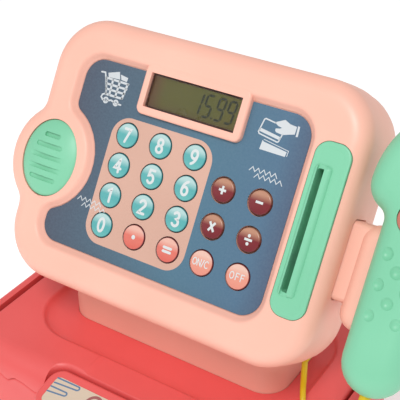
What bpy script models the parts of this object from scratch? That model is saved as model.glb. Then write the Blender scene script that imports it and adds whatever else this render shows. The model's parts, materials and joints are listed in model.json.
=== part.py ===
"""Toy cash register: a drawer base, a tilted keypad head on a neck, and a corded hand scanner in a side cradle.

Millimetres are written as n * MM. The base stands on z = 0 with its centre at the origin; the drawer opens along -Y.
The head is modelled flat in its own frame (x across, y up the panel, z out of the panel) and tilted by an empty.
"""
from math import atan2, cos, degrees, pi, radians, sin

import bmesh
import bpy
from mathutils import Matrix, Vector

MM = 0.001
GAP = 0.3 * MM

# Base
BASE_HALF_X = 113 * MM
BASE_HALF_Y = 71 * MM
BASE_TOP = 66 * MM
BASE_CORNERS = (16 * MM, 38 * MM)
TUB_WALL = 3 * MM
RIM_WALL = 6.75 * MM
COVER_HALF_X = 103.75 * MM
COVER_BACK = 61.75 * MM
ROLL = dict(y=-57 * MM, r=14 * MM)
TROUGH = dict(half_x=86 * MM, front=-41 * MM, back=56 * MM, corner=30 * MM, depth=4.5 * MM)
WAVE = ((44, -16.2), (53, -16.2), (58, -14.6), (62, -13.6), (66, -13.2), (69, -14.4), (71.4, -16.6), (73, -17),
        (74.8, -16.2), (78, -14.4), (84, -13.8), (90, -14))
NECK = dict(half_x=72 * MM, front=-14.5 * MM, back=44 * MM, corner=15 * MM)

# Drawer
TRAY_HALF_X = 95 * MM
TRAY_BACK = 52 * MM
TRAY_FRONT = -55.7 * MM
TRAY_BOTTOM = 3.4 * MM
TRAY_TOP = 48 * MM
FRONT_HALF_X = 103.4 * MM
TAB_HALF_X = 43.5 * MM
TAB_BACK = -59 * MM
TAB_LENGTH = 27 * MM
TAB_SLOPE = radians(14)

# Head
PANEL_TILT = radians(32)
HEAD_ORIGIN = Vector((0, -1.74, 169)) * MM
HEAD_HALF_X = 97.3 * MM
HEAD_HALF_Y = 75 * MM
HEAD_CORNER = 30 * MM
EAR = dict(x=-77 * MM, y=-9 * MM, r=34 * MM, fillet=8 * MM)
PARTING = -27 * MM
HEAD_BACK = -51 * MM
FLOOR_UNDER = -3.2 * MM
NOTCH = dict(x=-84 * MM, y=-6.5 * MM, r=31 * MM, fillet=6 * MM)
PANEL = dict(left=-74.2 * MM, right=66.8 * MM, bottom=-52.5 * MM, top=53 * MM)

# Keys: pitch of the digit block, its top left key, and the operator block
KEY_R = 6.8 * MM
KEY_HOLE_R = 7.2 * MM
KEY_TOP = 1.3 * MM
DIGIT_X, DIGIT_Y = -36.7 * MM, 16.5 * MM
DIGIT_PITCH_X, DIGIT_PITCH_Y = 21.8 * MM, 16.9 * MM
OPER_X, OPER_Y = 28.2 * MM, 5 * MM
OPER_PITCH_X, OPER_PITCH_Y = 21.8 * MM, 19.6 * MM
DIGIT_ROWS = (("7", "8", "9"), ("4", "5", "6"), ("1", "2", "3"), ("0", "point", "equals"))
OPER_ROWS = (("plus", "minus"), ("times", "divide"), ("on_clear", "off"))

# Display, grille and card slot, in the head's frame
LCD = dict(x=-2.2 * MM, y=43.6 * MM, half_x=28.2 * MM, half_y=9.3 * MM, frame=4.3 * MM)
GRILLE = dict(x=-80.2 * MM, y=-8.5 * MM, rx=18.1 * MM, ry=21.8 * MM, dome=4.5 * MM)
CARD = dict(x=81.6 * MM, y=0, half_x=9.7 * MM, half_y=44.5 * MM, corner=7.5 * MM)
CARD_SLOT = dict(x=78.2 * MM, y=-1 * MM, half_x=2.5 * MM, half_y=31.5 * MM, depth=10 * MM)

# Scanner handset and its cradle, in the head's frame
HAND_X = 130 * MM
HAND_PARTING = -3 * MM
HAND_HALF_T = 12 * MM
GRIP_HALF_X = 16.4 * MM
GRIP_BOTTOM = -66.5 * MM
CRADLE = dict(half_x=28 * MM, bottom=-41.5 * MM, top=12.5 * MM, back=-24 * MM, front=-7 * MM)
CORD_R = 1.6 * MM

PEACH = ((0.86, 0.45, 0.34), 0.42)
CORAL = ((0.78, 0.10, 0.09), 0.42)
MINT = ((0.24, 0.75, 0.48), 0.42)
COLOURS = {
    "peach_plastic": PEACH,
    "coral_plastic": CORAL,
    "mint_plastic": MINT,
    "navy_overlay": ((0.07, 0.16, 0.24), 0.5),
    "teal_key": ((0.12, 0.50, 0.50), 0.35),
    "pink_key": ((0.85, 0.32, 0.25), 0.35),
    "maroon_key": ((0.18, 0.02, 0.03), 0.35),
    "cream_label": ((0.85, 0.66, 0.52), 0.5),
    "lcd_glass": ((0.10, 0.11, 0.03), 0.25),
    "clear_window": ((0.8, 0.8, 0.8), 0.1),
    "yellow_cord": ((0.85, 0.62, 0.0), 0.5),
    "dark_rubber": ((0.05, 0.05, 0.06), 0.8),
    "circuit_green": ((0.02, 0.18, 0.08), 0.5),
    "red_lens": ((0.35, 0.01, 0.01), 0.15),
    "steel": ((0.6, 0.6, 0.62), 0.35),
    "battery_wrap": ((0.1, 0.1, 0.12), 0.4),
}


def clear_scene():
    for obj in list(bpy.data.objects):
        bpy.data.objects.remove(obj)


def collection(name):
    made = bpy.data.collections.new(name)
    bpy.context.scene.collection.children.link(made)
    return made


def material(slot):
    found = bpy.data.materials.get(slot)
    if found:
        return found
    colour, roughness = COLOURS[slot]
    made = bpy.data.materials.new(slot)
    made.use_nodes = True
    shader = made.node_tree.nodes["Principled BSDF"]
    shader.inputs["Base Color"].default_value = (*colour, 1)
    shader.inputs["Roughness"].default_value = roughness
    shader.inputs["Metallic"].default_value = 1.0 if slot == "steel" else 0.0
    return made


def add(name, mesh, slot, parent=None):
    """A part of the register, in its collection, with its material."""
    obj = bpy.data.objects.new(name, mesh)
    PARTS.objects.link(obj)
    mesh.materials.append(material(slot))
    obj.parent = parent
    mesh.shade_smooth()
    mesh.set_sharp_from_angle(angle=radians(35))
    return obj


def add_cutter(name, mesh, parent=None):
    obj = bpy.data.objects.new(name, mesh)
    CUTTERS.objects.link(obj)
    obj.parent = parent
    obj.hide_render = True
    obj.display_type = "WIRE"
    return obj


def boolean(obj, other, operation="DIFFERENCE"):
    modifier = obj.modifiers.new(other.name, "BOOLEAN")
    modifier.operation = operation
    modifier.object = other
    return obj


def mesh_from(bm, name):
    bmesh.ops.recalc_face_normals(bm, faces=bm.faces)
    mesh = bpy.data.meshes.new(name)
    bm.to_mesh(mesh)
    bm.free()
    return mesh


def box_mesh(name, low, high):
    bm = bmesh.new()
    size = Vector(high) - Vector(low)
    middle = (Vector(high) + Vector(low)) / 2
    bmesh.ops.create_cube(bm, size=1, matrix=Matrix.Translation(middle) @ Matrix.Diagonal((*size, 1)))
    return mesh_from(bm, name)


def cylinder_mesh(name, centre, radius, low, high, segments=16, scale_y=1.0):
    """A cylinder along z, round or (with scale_y) elliptical."""
    bm = bmesh.new()
    place = Matrix.Translation((centre[0], centre[1], (low + high) / 2)) @ Matrix.Diagonal((1, scale_y, 1, 1))
    bmesh.ops.create_cone(bm, cap_ends=True, segments=segments, radius1=radius, radius2=radius,
                          depth=high - low, matrix=place)
    return mesh_from(bm, name)


def turned(name, profile, slot, parent=None, steps=14):
    """A turned piece about z: profile is (radius, z) from the top down its outer side, closed on the axis."""
    bm = bmesh.new()
    points = [bm.verts.new((radius, 0, z)) for radius, z in profile]
    for first, second in zip(points, points[1:]):
        bm.edges.new((first, second))
    mesh = bpy.data.meshes.new(name)
    bm.to_mesh(mesh)
    bm.free()
    obj = add(name, mesh, slot, parent)
    screw = obj.modifiers.new("turn", "SCREW")
    screw.steps = screw.render_steps = steps
    screw.use_merge_vertices = True
    screw.merge_threshold = 0.00001
    screw.use_smooth_shade = True
    return obj


def outline(arcs, inset=0.0, per_arc=5):
    """Points of a closed outline of arcs (x, y, r, start, end) joined by straight lines, moved inwards by inset.

    An arc that runs clockwise (end < start) is a concave one, so its radius grows as the outline shrinks.
    """
    points = []
    for x, y, r, start, end in arcs:
        radius = r - inset if end > start else r + inset
        for i in range(per_arc):
            angle = radians(start + (end - start) * i / (per_arc - 1))
            points.append((x + radius * cos(angle), y + radius * sin(angle)))
    return points


def rounded_box_arcs(left, right, bottom, top, r):
    return [(right - r, bottom + r, r, -90, 0), (right - r, top - r, r, 0, 90),
            (left + r, top - r, r, 90, 180), (left + r, bottom + r, r, 180, 270)]


def loft_mesh(name, rings):
    """A closed solid through rings of equal point count, capped at both ends."""
    bm = bmesh.new()
    loops = [[bm.verts.new(point) for point in ring] for ring in rings]
    for lower, upper in zip(loops, loops[1:]):
        for i, vert in enumerate(lower):
            after = (i + 1) % len(lower)
            bm.faces.new((vert, lower[after], upper[after], upper[i]))
    bm.faces.new(list(reversed(loops[0])))
    bm.faces.new(loops[-1])
    return mesh_from(bm, name)


def level(points, z):
    return [(x, y, z) for x, y in points]


def prism_mesh(name, arcs, low, high, inset=0.0, per_arc=5):
    points = outline(arcs, inset, per_arc)
    return loft_mesh(name, [level(points, low), level(points, high)])


def fillet_steps(count):
    """(1 - cos, sin) pairs of a quarter turn, for a rounded edge."""
    return [(1 - cos(i * pi / 2 / count), sin(i * pi / 2 / count)) for i in range(count + 1)]


# ---------------------------------------------------------------- outlines in the head's frame

def head_arcs():
    """The head's outline: a rounded box with a round ear on its left side."""
    x, y, r = HEAD_HALF_X, HEAD_HALF_Y, HEAD_CORNER
    ear, f = EAR, EAR["fillet"]
    fillet_x = -x - f
    rise = (((ear["r"] + f) ** 2) - (fillet_x - ear["x"]) ** 2) ** 0.5
    turn = degrees(atan2(rise, ear["x"] - fillet_x))
    return [(x - r, r - y, r, -90, 0), (x - r, y - r, r, 0, 90), (r - x, y - r, r, 90, 180),
            (fillet_x, ear["y"] + rise, f, 0, -turn),
            (ear["x"], ear["y"], ear["r"], 180 - turn, 180 + turn),
            (fillet_x, ear["y"] - rise, f, turn, 0),
            (r - x, r - y, r, 180, 270)]


def panel_arcs():
    """The control panel's outline: a rounded box whose left side steps round the ear."""
    p, n, f = PANEL, NOTCH, NOTCH["fillet"]
    big, small = 12 * MM, 10 * MM
    fillet_x = p["left"] + f
    rise = ((n["r"] + f) ** 2 - (fillet_x - n["x"]) ** 2) ** 0.5
    turn = degrees(atan2(rise, fillet_x - n["x"]))
    return [(p["right"] - big, p["bottom"] + big, big, -90, 0), (p["right"] - big, p["top"] - big, big, 0, 90),
            (p["left"] + big, p["top"] - big, big, 90, 180),
            (fillet_x, n["y"] + rise, f, 180, 180 + turn),
            (n["x"], n["y"], n["r"], turn, -turn),
            (fillet_x, n["y"] - rise, f, 180 - turn, 180),
            (p["left"] + small, p["bottom"] + small, small, 180, 270)]


def handset_arcs():
    """The scanner's outline: a straight grip with a round end below an egg-shaped head."""
    g, bottom = GRIP_HALF_X, GRIP_BOTTOM + GRIP_HALF_X
    cheek_x, cheek_y, cheek_r = 14 * MM, 33.5 * MM, 14 * MM
    f = 6 * MM
    fillet_x = g + f
    drop = ((cheek_r + f) ** 2 - (fillet_x - cheek_x) ** 2) ** 0.5
    turn = degrees(atan2(drop, fillet_x - cheek_x))
    side_r, top_turn = 50 * MM, 32
    side_x = cheek_x + cheek_r - side_r
    top_y = cheek_y - side_x * sin(radians(top_turn)) / cos(radians(top_turn))
    top_r = side_r + side_x / cos(radians(top_turn))
    c = HAND_X
    return [(c, bottom, g, 180, 360),
            (c + fillet_x, cheek_y - drop, f, 180, 180 - turn),
            (c + cheek_x, cheek_y, cheek_r, -turn, 0),
            (c + side_x, cheek_y, side_r, 0.5, top_turn - 0.5),
            (c, top_y, top_r, top_turn, 180 - top_turn),
            (c - side_x, cheek_y, side_r, 180.5 - top_turn, 179.5),
            (c - cheek_x, cheek_y, cheek_r, 180, 180 + turn),
            (c - fillet_x, cheek_y - drop, f, turn, 0)]


def key_places():
    """(name, slot, radius, x, y) of each key."""
    for row, names in enumerate(DIGIT_ROWS):
        for column, name in enumerate(names):
            slot = "pink_key" if name in ("point", "equals") else "teal_key"
            yield name, slot, KEY_R, DIGIT_X + column * DIGIT_PITCH_X, DIGIT_Y - row * DIGIT_PITCH_Y
    for row, names in enumerate(OPER_ROWS):
        for column, name in enumerate(names):
            slot = "maroon_key" if row < 2 else "pink_key"
            radius = KEY_R - 0.5 * MM if row < 2 else KEY_R
            yield name, slot, radius, OPER_X + column * OPER_PITCH_X, OPER_Y - row * OPER_PITCH_Y


# ---------------------------------------------------------------- base and drawer

def base_arcs():
    """The base's plan: small corners in front, large ones behind."""
    x, y, (front, rear) = BASE_HALF_X, BASE_HALF_Y, BASE_CORNERS
    return [(x - front, front - y, front, -90, 0), (x - rear, y - rear, rear, 0, 90),
            (rear - x, y - rear, rear, 90, 180), (front - x, front - y, front, 180, 270)]


def cover_arcs():
    """The top cover's plan, inside the tub's rim."""
    x, front, rear = COVER_HALF_X, 6 * MM, 28.75 * MM
    return [(x - front, front - BASE_HALF_Y, front, -90, 0), (x - rear, COVER_BACK - rear, rear, 0, 90),
            (rear - x, COVER_BACK - rear, rear, 90, 180), (front - x, front - BASE_HALF_Y, front, 180, 270)]


def wave(x):
    """Height of the wavy seam between cover and drawer front, below the base's top."""
    places = [place for place, _ in WAVE]
    x = min(max(abs(x) / MM, places[0]), places[-1])
    for (a, low), (b, high) in zip(WAVE, WAVE[1:]):
        if x <= b:
            return (low + (high - low) * (x - a) / (b - a)) * MM


def wave_places(reach):
    """The x of the seam's corners on both sides, out to reach."""
    side = [place * MM for place, _ in WAVE] + [reach]
    return [-x for x in reversed(side)] + side


def across_mesh(name, section, xs):
    """A solid of (y, z) sections, one for each x."""
    return loft_mesh(name, [[(x, y, z) for y, z in section(x)] for x in xs])


def base_tub():
    """Bottom shell: floor, side and back walls with an inward lip, open top, and an open front for the drawer."""
    arcs, top = base_arcs(), BASE_TOP
    rings = [level(outline(arcs, inset * MM), z) for inset, z in
             ((2, 0), (0.4, 2 * MM), (0, 5 * MM), (0, top - 4 * MM), (0.8, top - 1.4 * MM), (2.4, top))]
    tub = add("base_tub", loft_mesh("base_tub", rings), "coral_plastic")
    boolean(tub, add_cutter("tub_inside", prism_mesh("tub_inside", arcs, 3 * MM, top - 11 * MM, TUB_WALL)))
    boolean(tub, add_cutter("tub_lip", prism_mesh("tub_lip", arcs, top - 14 * MM, 80 * MM, RIM_WALL)))
    mouth = FRONT_HALF_X + 0.7 * MM
    boolean(tub, add_cutter("tub_mouth", box_mesh("tub_mouth", (-mouth, -90 * MM, 3 * MM), (mouth, -50 * MM, 80 * MM))))
    for i, (x, y) in enumerate(BASE_SCREWS):
        boolean(tub, add_cutter(f"tub_hole_{i}", cylinder_mesh("hole", (x, y), 1.6 * MM, -1 * MM, 10 * MM, 12)))
        boolean(tub, add_cutter(f"tub_sink_{i}", cylinder_mesh("sink", (x, y), 3.4 * MM, -1 * MM, 1.8 * MM, 12)))
    return tub


def roll_section(x):
    """What is cut away in front of the cover's rolled front edge."""
    y, r = ROLL["y"], ROLL["r"]
    points = [(y - r * sin(i * pi / 12), BASE_TOP - r + r * cos(i * pi / 12)) for i in range(7)]
    return [(-95 * MM, 30 * MM), (-95 * MM, 90 * MM), (y, 90 * MM)] + points + [(y - r, 30 * MM)]


def base_top_cover():
    """Top shell: a deck with a trough round the neck, a rolled front edge, a tab recess and four screw posts."""
    arcs, top, t, n = cover_arcs(), BASE_TOP, TROUGH, NECK
    low = top - 18 * MM
    rings = [level(outline(arcs, inset * MM), z) for inset, z in
             ((0, low), (0, top - 2.5 * MM), (0.7, top - 0.8 * MM), (2.2, top))]
    cover = add("base_top_cover", loft_mesh("base_top_cover", rings), "coral_plastic")
    boolean(cover, add_cutter("roll", across_mesh("roll", roll_section, (-120 * MM, 120 * MM))))
    hole = rounded_box_arcs(-t["half_x"], t["half_x"], t["front"], t["back"], t["corner"])
    steps = ((8, -t["depth"]), (3.6, -t["depth"] * 0.9), (1, -t["depth"] * 0.55), (-0.2, -t["depth"] * 0.14),
             (-1.4, 0), (-2, 4 * MM))
    trough = [level(outline(hole, inset * MM), top + z) for inset, z in steps]
    under = [level(outline(hole, (inset - 2.5) * MM), top + z - 2.4 * MM) for inset, z in steps]
    hollow = add_cutter("cover_hollow", prism_mesh("cover_hollow", arcs, low - 5 * MM, top - 2.4 * MM, 2.4 * MM))
    boolean(hollow, add_cutter("cover_front", box_mesh(
        "cover_front", (-120 * MM, -90 * MM, 30 * MM), (120 * MM, ROLL["y"] + 2 * MM, 90 * MM))))
    boolean(hollow, add_cutter("trough_under", loft_mesh("trough_under", under)))
    boolean(cover, hollow)
    boolean(cover, add_cutter("trough", loft_mesh("trough", trough)))
    through = rounded_box_arcs(-n["half_x"] - GAP, n["half_x"] + GAP, n["front"] - GAP, n["back"] + GAP, n["corner"] + GAP)
    boolean(cover, add_cutter("neck_hole", prism_mesh("neck_hole", through, 50 * MM, 90 * MM)))
    recess = rounded_box_arcs(-TAB_HALF_X - 1.7 * MM, TAB_HALF_X + 1.7 * MM, -120 * MM, TAB_BACK + 1.7 * MM, 10 * MM)
    boolean(cover, add_cutter("tab_recess", prism_mesh("tab_recess", recess, 40 * MM, 90 * MM)))
    boolean(cover, add_cutter("deck_dip", loft_mesh("deck_dip", [
        level(outline(rounded_box_arcs(-24 * MM, 32 * MM, -90 * MM, -30 * MM, 2 * MM)), top - 1 * MM),
        level(outline(rounded_box_arcs(-29 * MM, 37 * MM, -93 * MM, -27 * MM, 2 * MM)), top + 1 * MM)])))
    boolean(cover, add_cutter("wavy_seam", across_mesh("wavy_seam", lambda x: [
        (-100 * MM, 20 * MM), (-55 * MM, 20 * MM), (-55 * MM, top + wave(x)), (-100 * MM, top + wave(x))],
        wave_places(112 * MM))))
    for i, (x, y) in enumerate(BASE_SCREWS):
        boolean(cover, add_cutter(f"post_{i}", cylinder_mesh("post", (x, y), 3.2 * MM, 3.3 * MM, top - 5 * MM, 12)), "UNION")
        boolean(cover, add_cutter(f"post_hole_{i}", cylinder_mesh("pilot", (x, y), 1.5 * MM, 1 * MM, 20 * MM, 12)))
    return cover


def front_section(x):
    """The drawer front's section at x: back, foot, face, roll and top edge under the cover's lip."""
    half, corner = FRONT_HALF_X, 6 * MM
    edge = max(0.0, abs(x) - (half - corner)) / corner
    tuck = corner * (1 - (1 - min(edge, 1.0) ** 2) ** 0.5)
    y, r, top = ROLL["y"], ROLL["r"], BASE_TOP + wave(x) - 0.5 * MM
    face, back = y - r + tuck, -56 * MM
    return [(back, 3.6 * MM), (face + 2 * MM, 3.6 * MM), (face, 6 * MM), (face, top), (back, top)]


def drawer_front():
    """Drawer face with a wavy upper edge and a raised, sloping centre tab that lies in the cover's recess."""
    rounding = [FRONT_HALF_X - d * MM for d in (0, 1, 2.5, 4.5)]
    xs = [-x for x in rounding] + wave_places(FRONT_HALF_X - 6 * MM) + list(reversed(rounding))
    front = add("drawer_front", across_mesh("drawer_front", front_section, xs), "coral_plastic")
    boolean(front, add_cutter("front_hollow", box_mesh(
        "front_hollow", (-97 * MM, -68 * MM, 7 * MM), (97 * MM, -50 * MM, 46 * MM))))
    boolean(front, add_cutter("tab_root", box_mesh(
        "tab_root", (-40 * MM, -70.5 * MM, 46.5 * MM), (40 * MM, -60 * MM, 58 * MM))), "UNION")
    boolean(front, tab_cutter(), "UNION")
    return front


def tab_point(x, along, up=0.0):
    """A point off the tab's sloping top: along runs down the slope from its back edge; below the top it is plumb."""
    y = TAB_BACK - along * cos(TAB_SLOPE) - max(0, up) * sin(TAB_SLOPE)
    z = BASE_TOP - 1 * MM - along * sin(TAB_SLOPE) + up * cos(TAB_SLOPE)
    return (x, y, z)


def tab_cutter():
    """The tab as a solid, joined to the drawer front."""
    arcs = rounded_box_arcs(-TAB_HALF_X, TAB_HALF_X, 0, TAB_LENGTH, 9 * MM)
    rings = []
    for inset, up in ((1.5, -13), (0, -11.5), (0, -1.8), (0.5, -0.6), (1.8, 0)):
        rings.append([tab_point(x, y, up * MM) for x, y in outline(arcs, inset * MM)])
    return add_cutter("tab_body", loft_mesh("tab_body", rings))


def drawer_label():
    """Printed label stuck on the tab."""
    arcs = rounded_box_arcs(-TAB_HALF_X + 5.5 * MM, TAB_HALF_X - 5.5 * MM, 6 * MM, TAB_LENGTH - 4 * MM, 3 * MM)
    rings = [[tab_point(x, y, up) for x, y in outline(arcs, 0, 4)] for up in (0.02 * MM, 0.32 * MM)]
    return add("drawer_label", loft_mesh("drawer_label", rings), "cream_label")


def drawer_tray():
    """Coin and note tray behind the drawer front: two rows of open bays."""
    tray = add("drawer_tray", box_mesh(
        "drawer_tray", (-TRAY_HALF_X, TRAY_FRONT, TRAY_BOTTOM), (TRAY_HALF_X, TRAY_BACK, TRAY_TOP)), "coral_plastic")
    for i, (low, high) in enumerate(tray_bays()):
        mesh = box_mesh("bay", (low[0], low[1], TRAY_BOTTOM + 2 * MM), (high[0], high[1], 70 * MM))
        boolean(tray, add_cutter(f"bay_{i}", mesh))
    return tray


def tray_bays():
    """Low and high corners, in plan, of four coin bays in front and three note bays behind."""
    bays = []
    inner, wall = TRAY_HALF_X - 2 * MM, 2 * MM
    for count, front, back in ((4, TRAY_FRONT + 2 * MM, -14 * MM), (3, -12 * MM, TRAY_BACK - 2 * MM)):
        width = (2 * inner - (count - 1) * wall) / count
        for i in range(count):
            left = -inner + i * (width + wall)
            bays.append(((left, front), (left + width, back)))
    return bays


# ---------------------------------------------------------------- head

def head_front_shell(frame):
    """Front casing: rounded rim, sunken panel floor, raised display frame and holes for what shows through."""
    arcs, panel = head_arcs(), panel_arcs()
    rings = [level(outline(arcs, 0), PARTING), level(outline(arcs, 0.5 * MM), -6 * MM)]
    rings += [level(outline(arcs, (0.5 + 9.5 * a) * MM), (-6 + 10 * b) * MM) for a, b in fillet_steps(4)[1:]]
    rings += [level(outline(panel, inset * MM), z * MM) for inset, z in ((-4.4, 4), (-2.8, 3.1), (-1.2, 1), (0, -0.5))]
    shell = add("head_front_shell", loft_mesh("head_front_shell", rings), "peach_plastic", frame)
    inside = [level(outline(arcs, 2.6 * MM), PARTING - 1 * MM), level(outline(arcs, 2.6 * MM), -9 * MM),
              level(outline(arcs, 5 * MM), FLOOR_UNDER)]
    boolean(shell, add_cutter("front_inside", loft_mesh("front_inside", inside), frame))
    l = LCD
    f = l["frame"]
    block = rounded_box_arcs(l["x"] - l["half_x"] - f, l["x"] + l["half_x"] + f, l["y"] - l["half_y"] - f, 58 * MM, 4 * MM)
    rings = [level(outline(block, inset * MM), z * MM) for inset, z in ((0, -1.5), (0, 3), (0.8, 3.9))]
    boolean(shell, add_cutter("lcd_frame", loft_mesh("lcd_frame", rings), frame), "UNION")
    boolean(shell, add_cutter("lcd_hole", box_mesh(
        "lcd_hole", (l["x"] - l["half_x"], l["y"] - l["half_y"], -10 * MM),
        (l["x"] + l["half_x"], l["y"] + l["half_y"], 10 * MM)), frame))
    g = GRILLE
    boolean(shell, add_cutter("grille_hole", cylinder_mesh(
        "grille_hole", (g["x"], g["y"]), g["rx"] + GAP, -10 * MM, 12 * MM, 40, (g["ry"] + GAP) / (g["rx"] + GAP)), frame))
    c = CARD
    card = rounded_box_arcs(c["x"] - c["half_x"], c["x"] + c["half_x"], -c["half_y"], c["half_y"], c["corner"])
    boolean(shell, add_cutter("card_hole", prism_mesh("card_hole", card, -10 * MM, 12 * MM, -GAP), frame))
    for name, _, _, x, y in key_places():
        boolean(shell, add_cutter(f"hole_{name}", cylinder_mesh("hole", (x, y), KEY_HOLE_R, -9 * MM, 3 * MM), frame))
    a = CRADLE_ARM
    boolean(shell, add_cutter("arm_window", box_mesh(
        "arm_window", (85 * MM, a["bottom"] - 0.5 * MM, PARTING - 1 * MM), (110 * MM, a["top"] + 0.5 * MM, a["front"] + 0.5 * MM)), frame))
    return shell


def head_back_cover(frame):
    """Rear casing: closes the head behind the parting line, with the battery bay and a cord hole."""
    arcs = head_arcs()
    rings = [level(outline(arcs, 14 * MM), HEAD_BACK), level(outline(arcs, 8 * MM), HEAD_BACK + 1.2 * MM),
             level(outline(arcs, 3 * MM), HEAD_BACK + 6 * MM), level(outline(arcs, 0.8 * MM), HEAD_BACK + 13 * MM),
             level(outline(arcs, 0.6 * MM), PARTING - GAP)]
    cover = add("head_back_cover", loft_mesh("head_back_cover", rings), "peach_plastic", frame)
    inside = [level(outline(arcs, 15 * MM), HEAD_BACK + 3 * MM), level(outline(arcs, 6 * MM), HEAD_BACK + 8 * MM),
              level(outline(arcs, 3.4 * MM), PARTING + 1 * MM)]
    boolean(cover, add_cutter("back_inside", loft_mesh("back_inside", inside), frame))
    door = rounded_box_arcs(*DOOR, 4 * MM)
    boolean(cover, add_cutter("door_hole", prism_mesh("door_hole", door, HEAD_BACK - 2 * MM, HEAD_BACK + 5 * MM, -GAP), frame))
    a = CRADLE_ARM
    boolean(cover, add_cutter("arm_relief", box_mesh(
        "arm_relief", (85 * MM, a["bottom"] - 0.5 * MM, a["back"] - 0.5 * MM), (110 * MM, a["top"] + 0.5 * MM, PARTING + 1 * MM)), frame))
    boolean(cover, add_cutter("gland_hole", gland_axis_cylinder("gland_hole", 3.3 * MM, 8 * MM, -8 * MM), frame))
    for i, (x, y) in enumerate(HEAD_SCREWS):
        boolean(cover, add_cutter(f"back_hole_{i}", cylinder_mesh("hole", (x, y), 1.6 * MM, HEAD_BACK - 2 * MM, HEAD_BACK + 6 * MM, 12), frame))
        boolean(cover, add_cutter(f"back_sink_{i}", cylinder_mesh("sink", (x, y), 3.4 * MM, HEAD_BACK - 2 * MM, HEAD_BACK + 1.9 * MM, 12), frame))
    return cover


def control_overlay(frame):
    """Printed film on the panel floor, cut out round the keys and the display frame."""
    film = add("control_overlay", prism_mesh("control_overlay", panel_arcs(), -0.2 * MM, 0.2 * MM, GAP), "navy_overlay", frame)
    l, f = LCD, LCD["frame"] + GAP
    block = rounded_box_arcs(l["x"] - l["half_x"] - f, l["x"] + l["half_x"] + f, l["y"] - l["half_y"] - f, 70 * MM, 4 * MM)
    boolean(film, add_cutter("film_display", prism_mesh("film_display", block, -3 * MM, 5 * MM), frame))
    for name, _, _, x, y in key_places():
        boolean(film, add_cutter(f"film_{name}", cylinder_mesh("hole", (x, y), KEY_HOLE_R, -3 * MM, 3 * MM), frame))
    return film


def key(name, slot, radius, x, y, frame):
    """A domed key with a flange under the panel floor."""
    r = radius
    profile = [(0, KEY_TOP), (r * 0.6, KEY_TOP - 0.25 * MM), (r - 0.5 * MM, KEY_TOP - 0.8 * MM), (r, KEY_TOP - 1.4 * MM),
               (r, -3.6 * MM), (8.1 * MM, -3.6 * MM), (8.1 * MM, -4.6 * MM), (0, -4.6 * MM)]
    made = turned(f"key_{name}", profile, slot, frame)
    made.location = (x, y, 0)
    return made


def display(frame):
    l = LCD
    low = (l["x"] - l["half_x"] + GAP, l["y"] - l["half_y"] + GAP)
    high = (l["x"] + l["half_x"] - GAP, l["y"] + l["half_y"] - GAP)
    add("lcd_module", box_mesh("lcd_module", (*low, -7 * MM), (*high, 1.3 * MM)), "lcd_glass", frame)
    add("lcd_window", box_mesh("lcd_window", (*low, 1.8 * MM), (*high, 2.6 * MM)), "clear_window", frame)


def speaker(frame):
    """Domed grille with five cut bars, and the loudspeaker behind it."""
    g = GRILLE
    dome_r = (g["rx"] ** 2 + g["dome"] ** 2) / (2 * g["dome"])
    profile = []
    for i in range(6):
        radius = g["rx"] * i / 5
        profile.append((radius, 3.4 * MM + (dome_r ** 2 - radius ** 2) ** 0.5 - (dome_r - g["dome"])))
    profile += [(g["rx"], -1 * MM), (0, -1 * MM)]
    grille = turned("speaker_grille", profile, "mint_plastic", frame, steps=40)
    grille.location = (g["x"], g["y"], 0)
    grille.scale = (1, g["ry"] / g["rx"], 1)
    for i, (y, half) in enumerate(((12.4, 7), (6.4, 10), (0, 14), (-6.6, 10), (-13, 7))):
        bar = rounded_box_arcs(g["x"] - half * MM, g["x"] + half * MM, g["y"] + (y - 1.2) * MM, g["y"] + (y + 1.2) * MM, 1.1 * MM)
        boolean(grille, add_cutter(f"bar_{i}", prism_mesh("bar", bar, 5.6 * MM, 12 * MM, 0, 4), frame))
    driver = turned("speaker_driver", [(0, -3 * MM), (14 * MM, -3 * MM), (14.5 * MM, -5 * MM), (8 * MM, -12 * MM),
                                      (8 * MM, -17 * MM), (0, -17 * MM)], "dark_rubber", frame, steps=24)
    driver.location = (g["x"], g["y"], 0)


def card_slot(frame):
    """Card swipe strip: a long insert with a deep slot between two low rails."""
    c, s = CARD, CARD_SLOT
    arcs = rounded_box_arcs(c["x"] - c["half_x"], c["x"] + c["half_x"], -c["half_y"], c["half_y"], c["corner"])
    rings = [level(outline(arcs, inset * MM), z * MM) for inset, z in ((0, -8), (0, 3.6), (0.4, 4.3), (1.4, 4.7))]
    trim = add("card_slot_trim", loft_mesh("card_slot_trim", rings), "mint_plastic", frame)
    rail = rounded_box_arcs(s["x"] - 5.6 * MM, s["x"] + 5.6 * MM, s["y"] - s["half_y"] - 2 * MM, s["y"] + s["half_y"] + 2 * MM, 4 * MM)
    rails = [level(outline(rail, inset * MM), z * MM) for inset, z in ((0, 2), (0, 4.8), (2.2, 6.2))]
    boolean(trim, add_cutter("card_rails", loft_mesh("card_rails", rails), frame), "UNION")
    slot = rounded_box_arcs(s["x"] - s["half_x"], s["x"] + s["half_x"], s["y"] - s["half_y"], s["y"] + s["half_y"], 1.2 * MM)
    boolean(trim, add_cutter("card_slot_cut", prism_mesh("card_slot_cut", slot, 6 * MM - s["depth"] - 2 * MM, 12 * MM), frame))
    return trim


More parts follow.
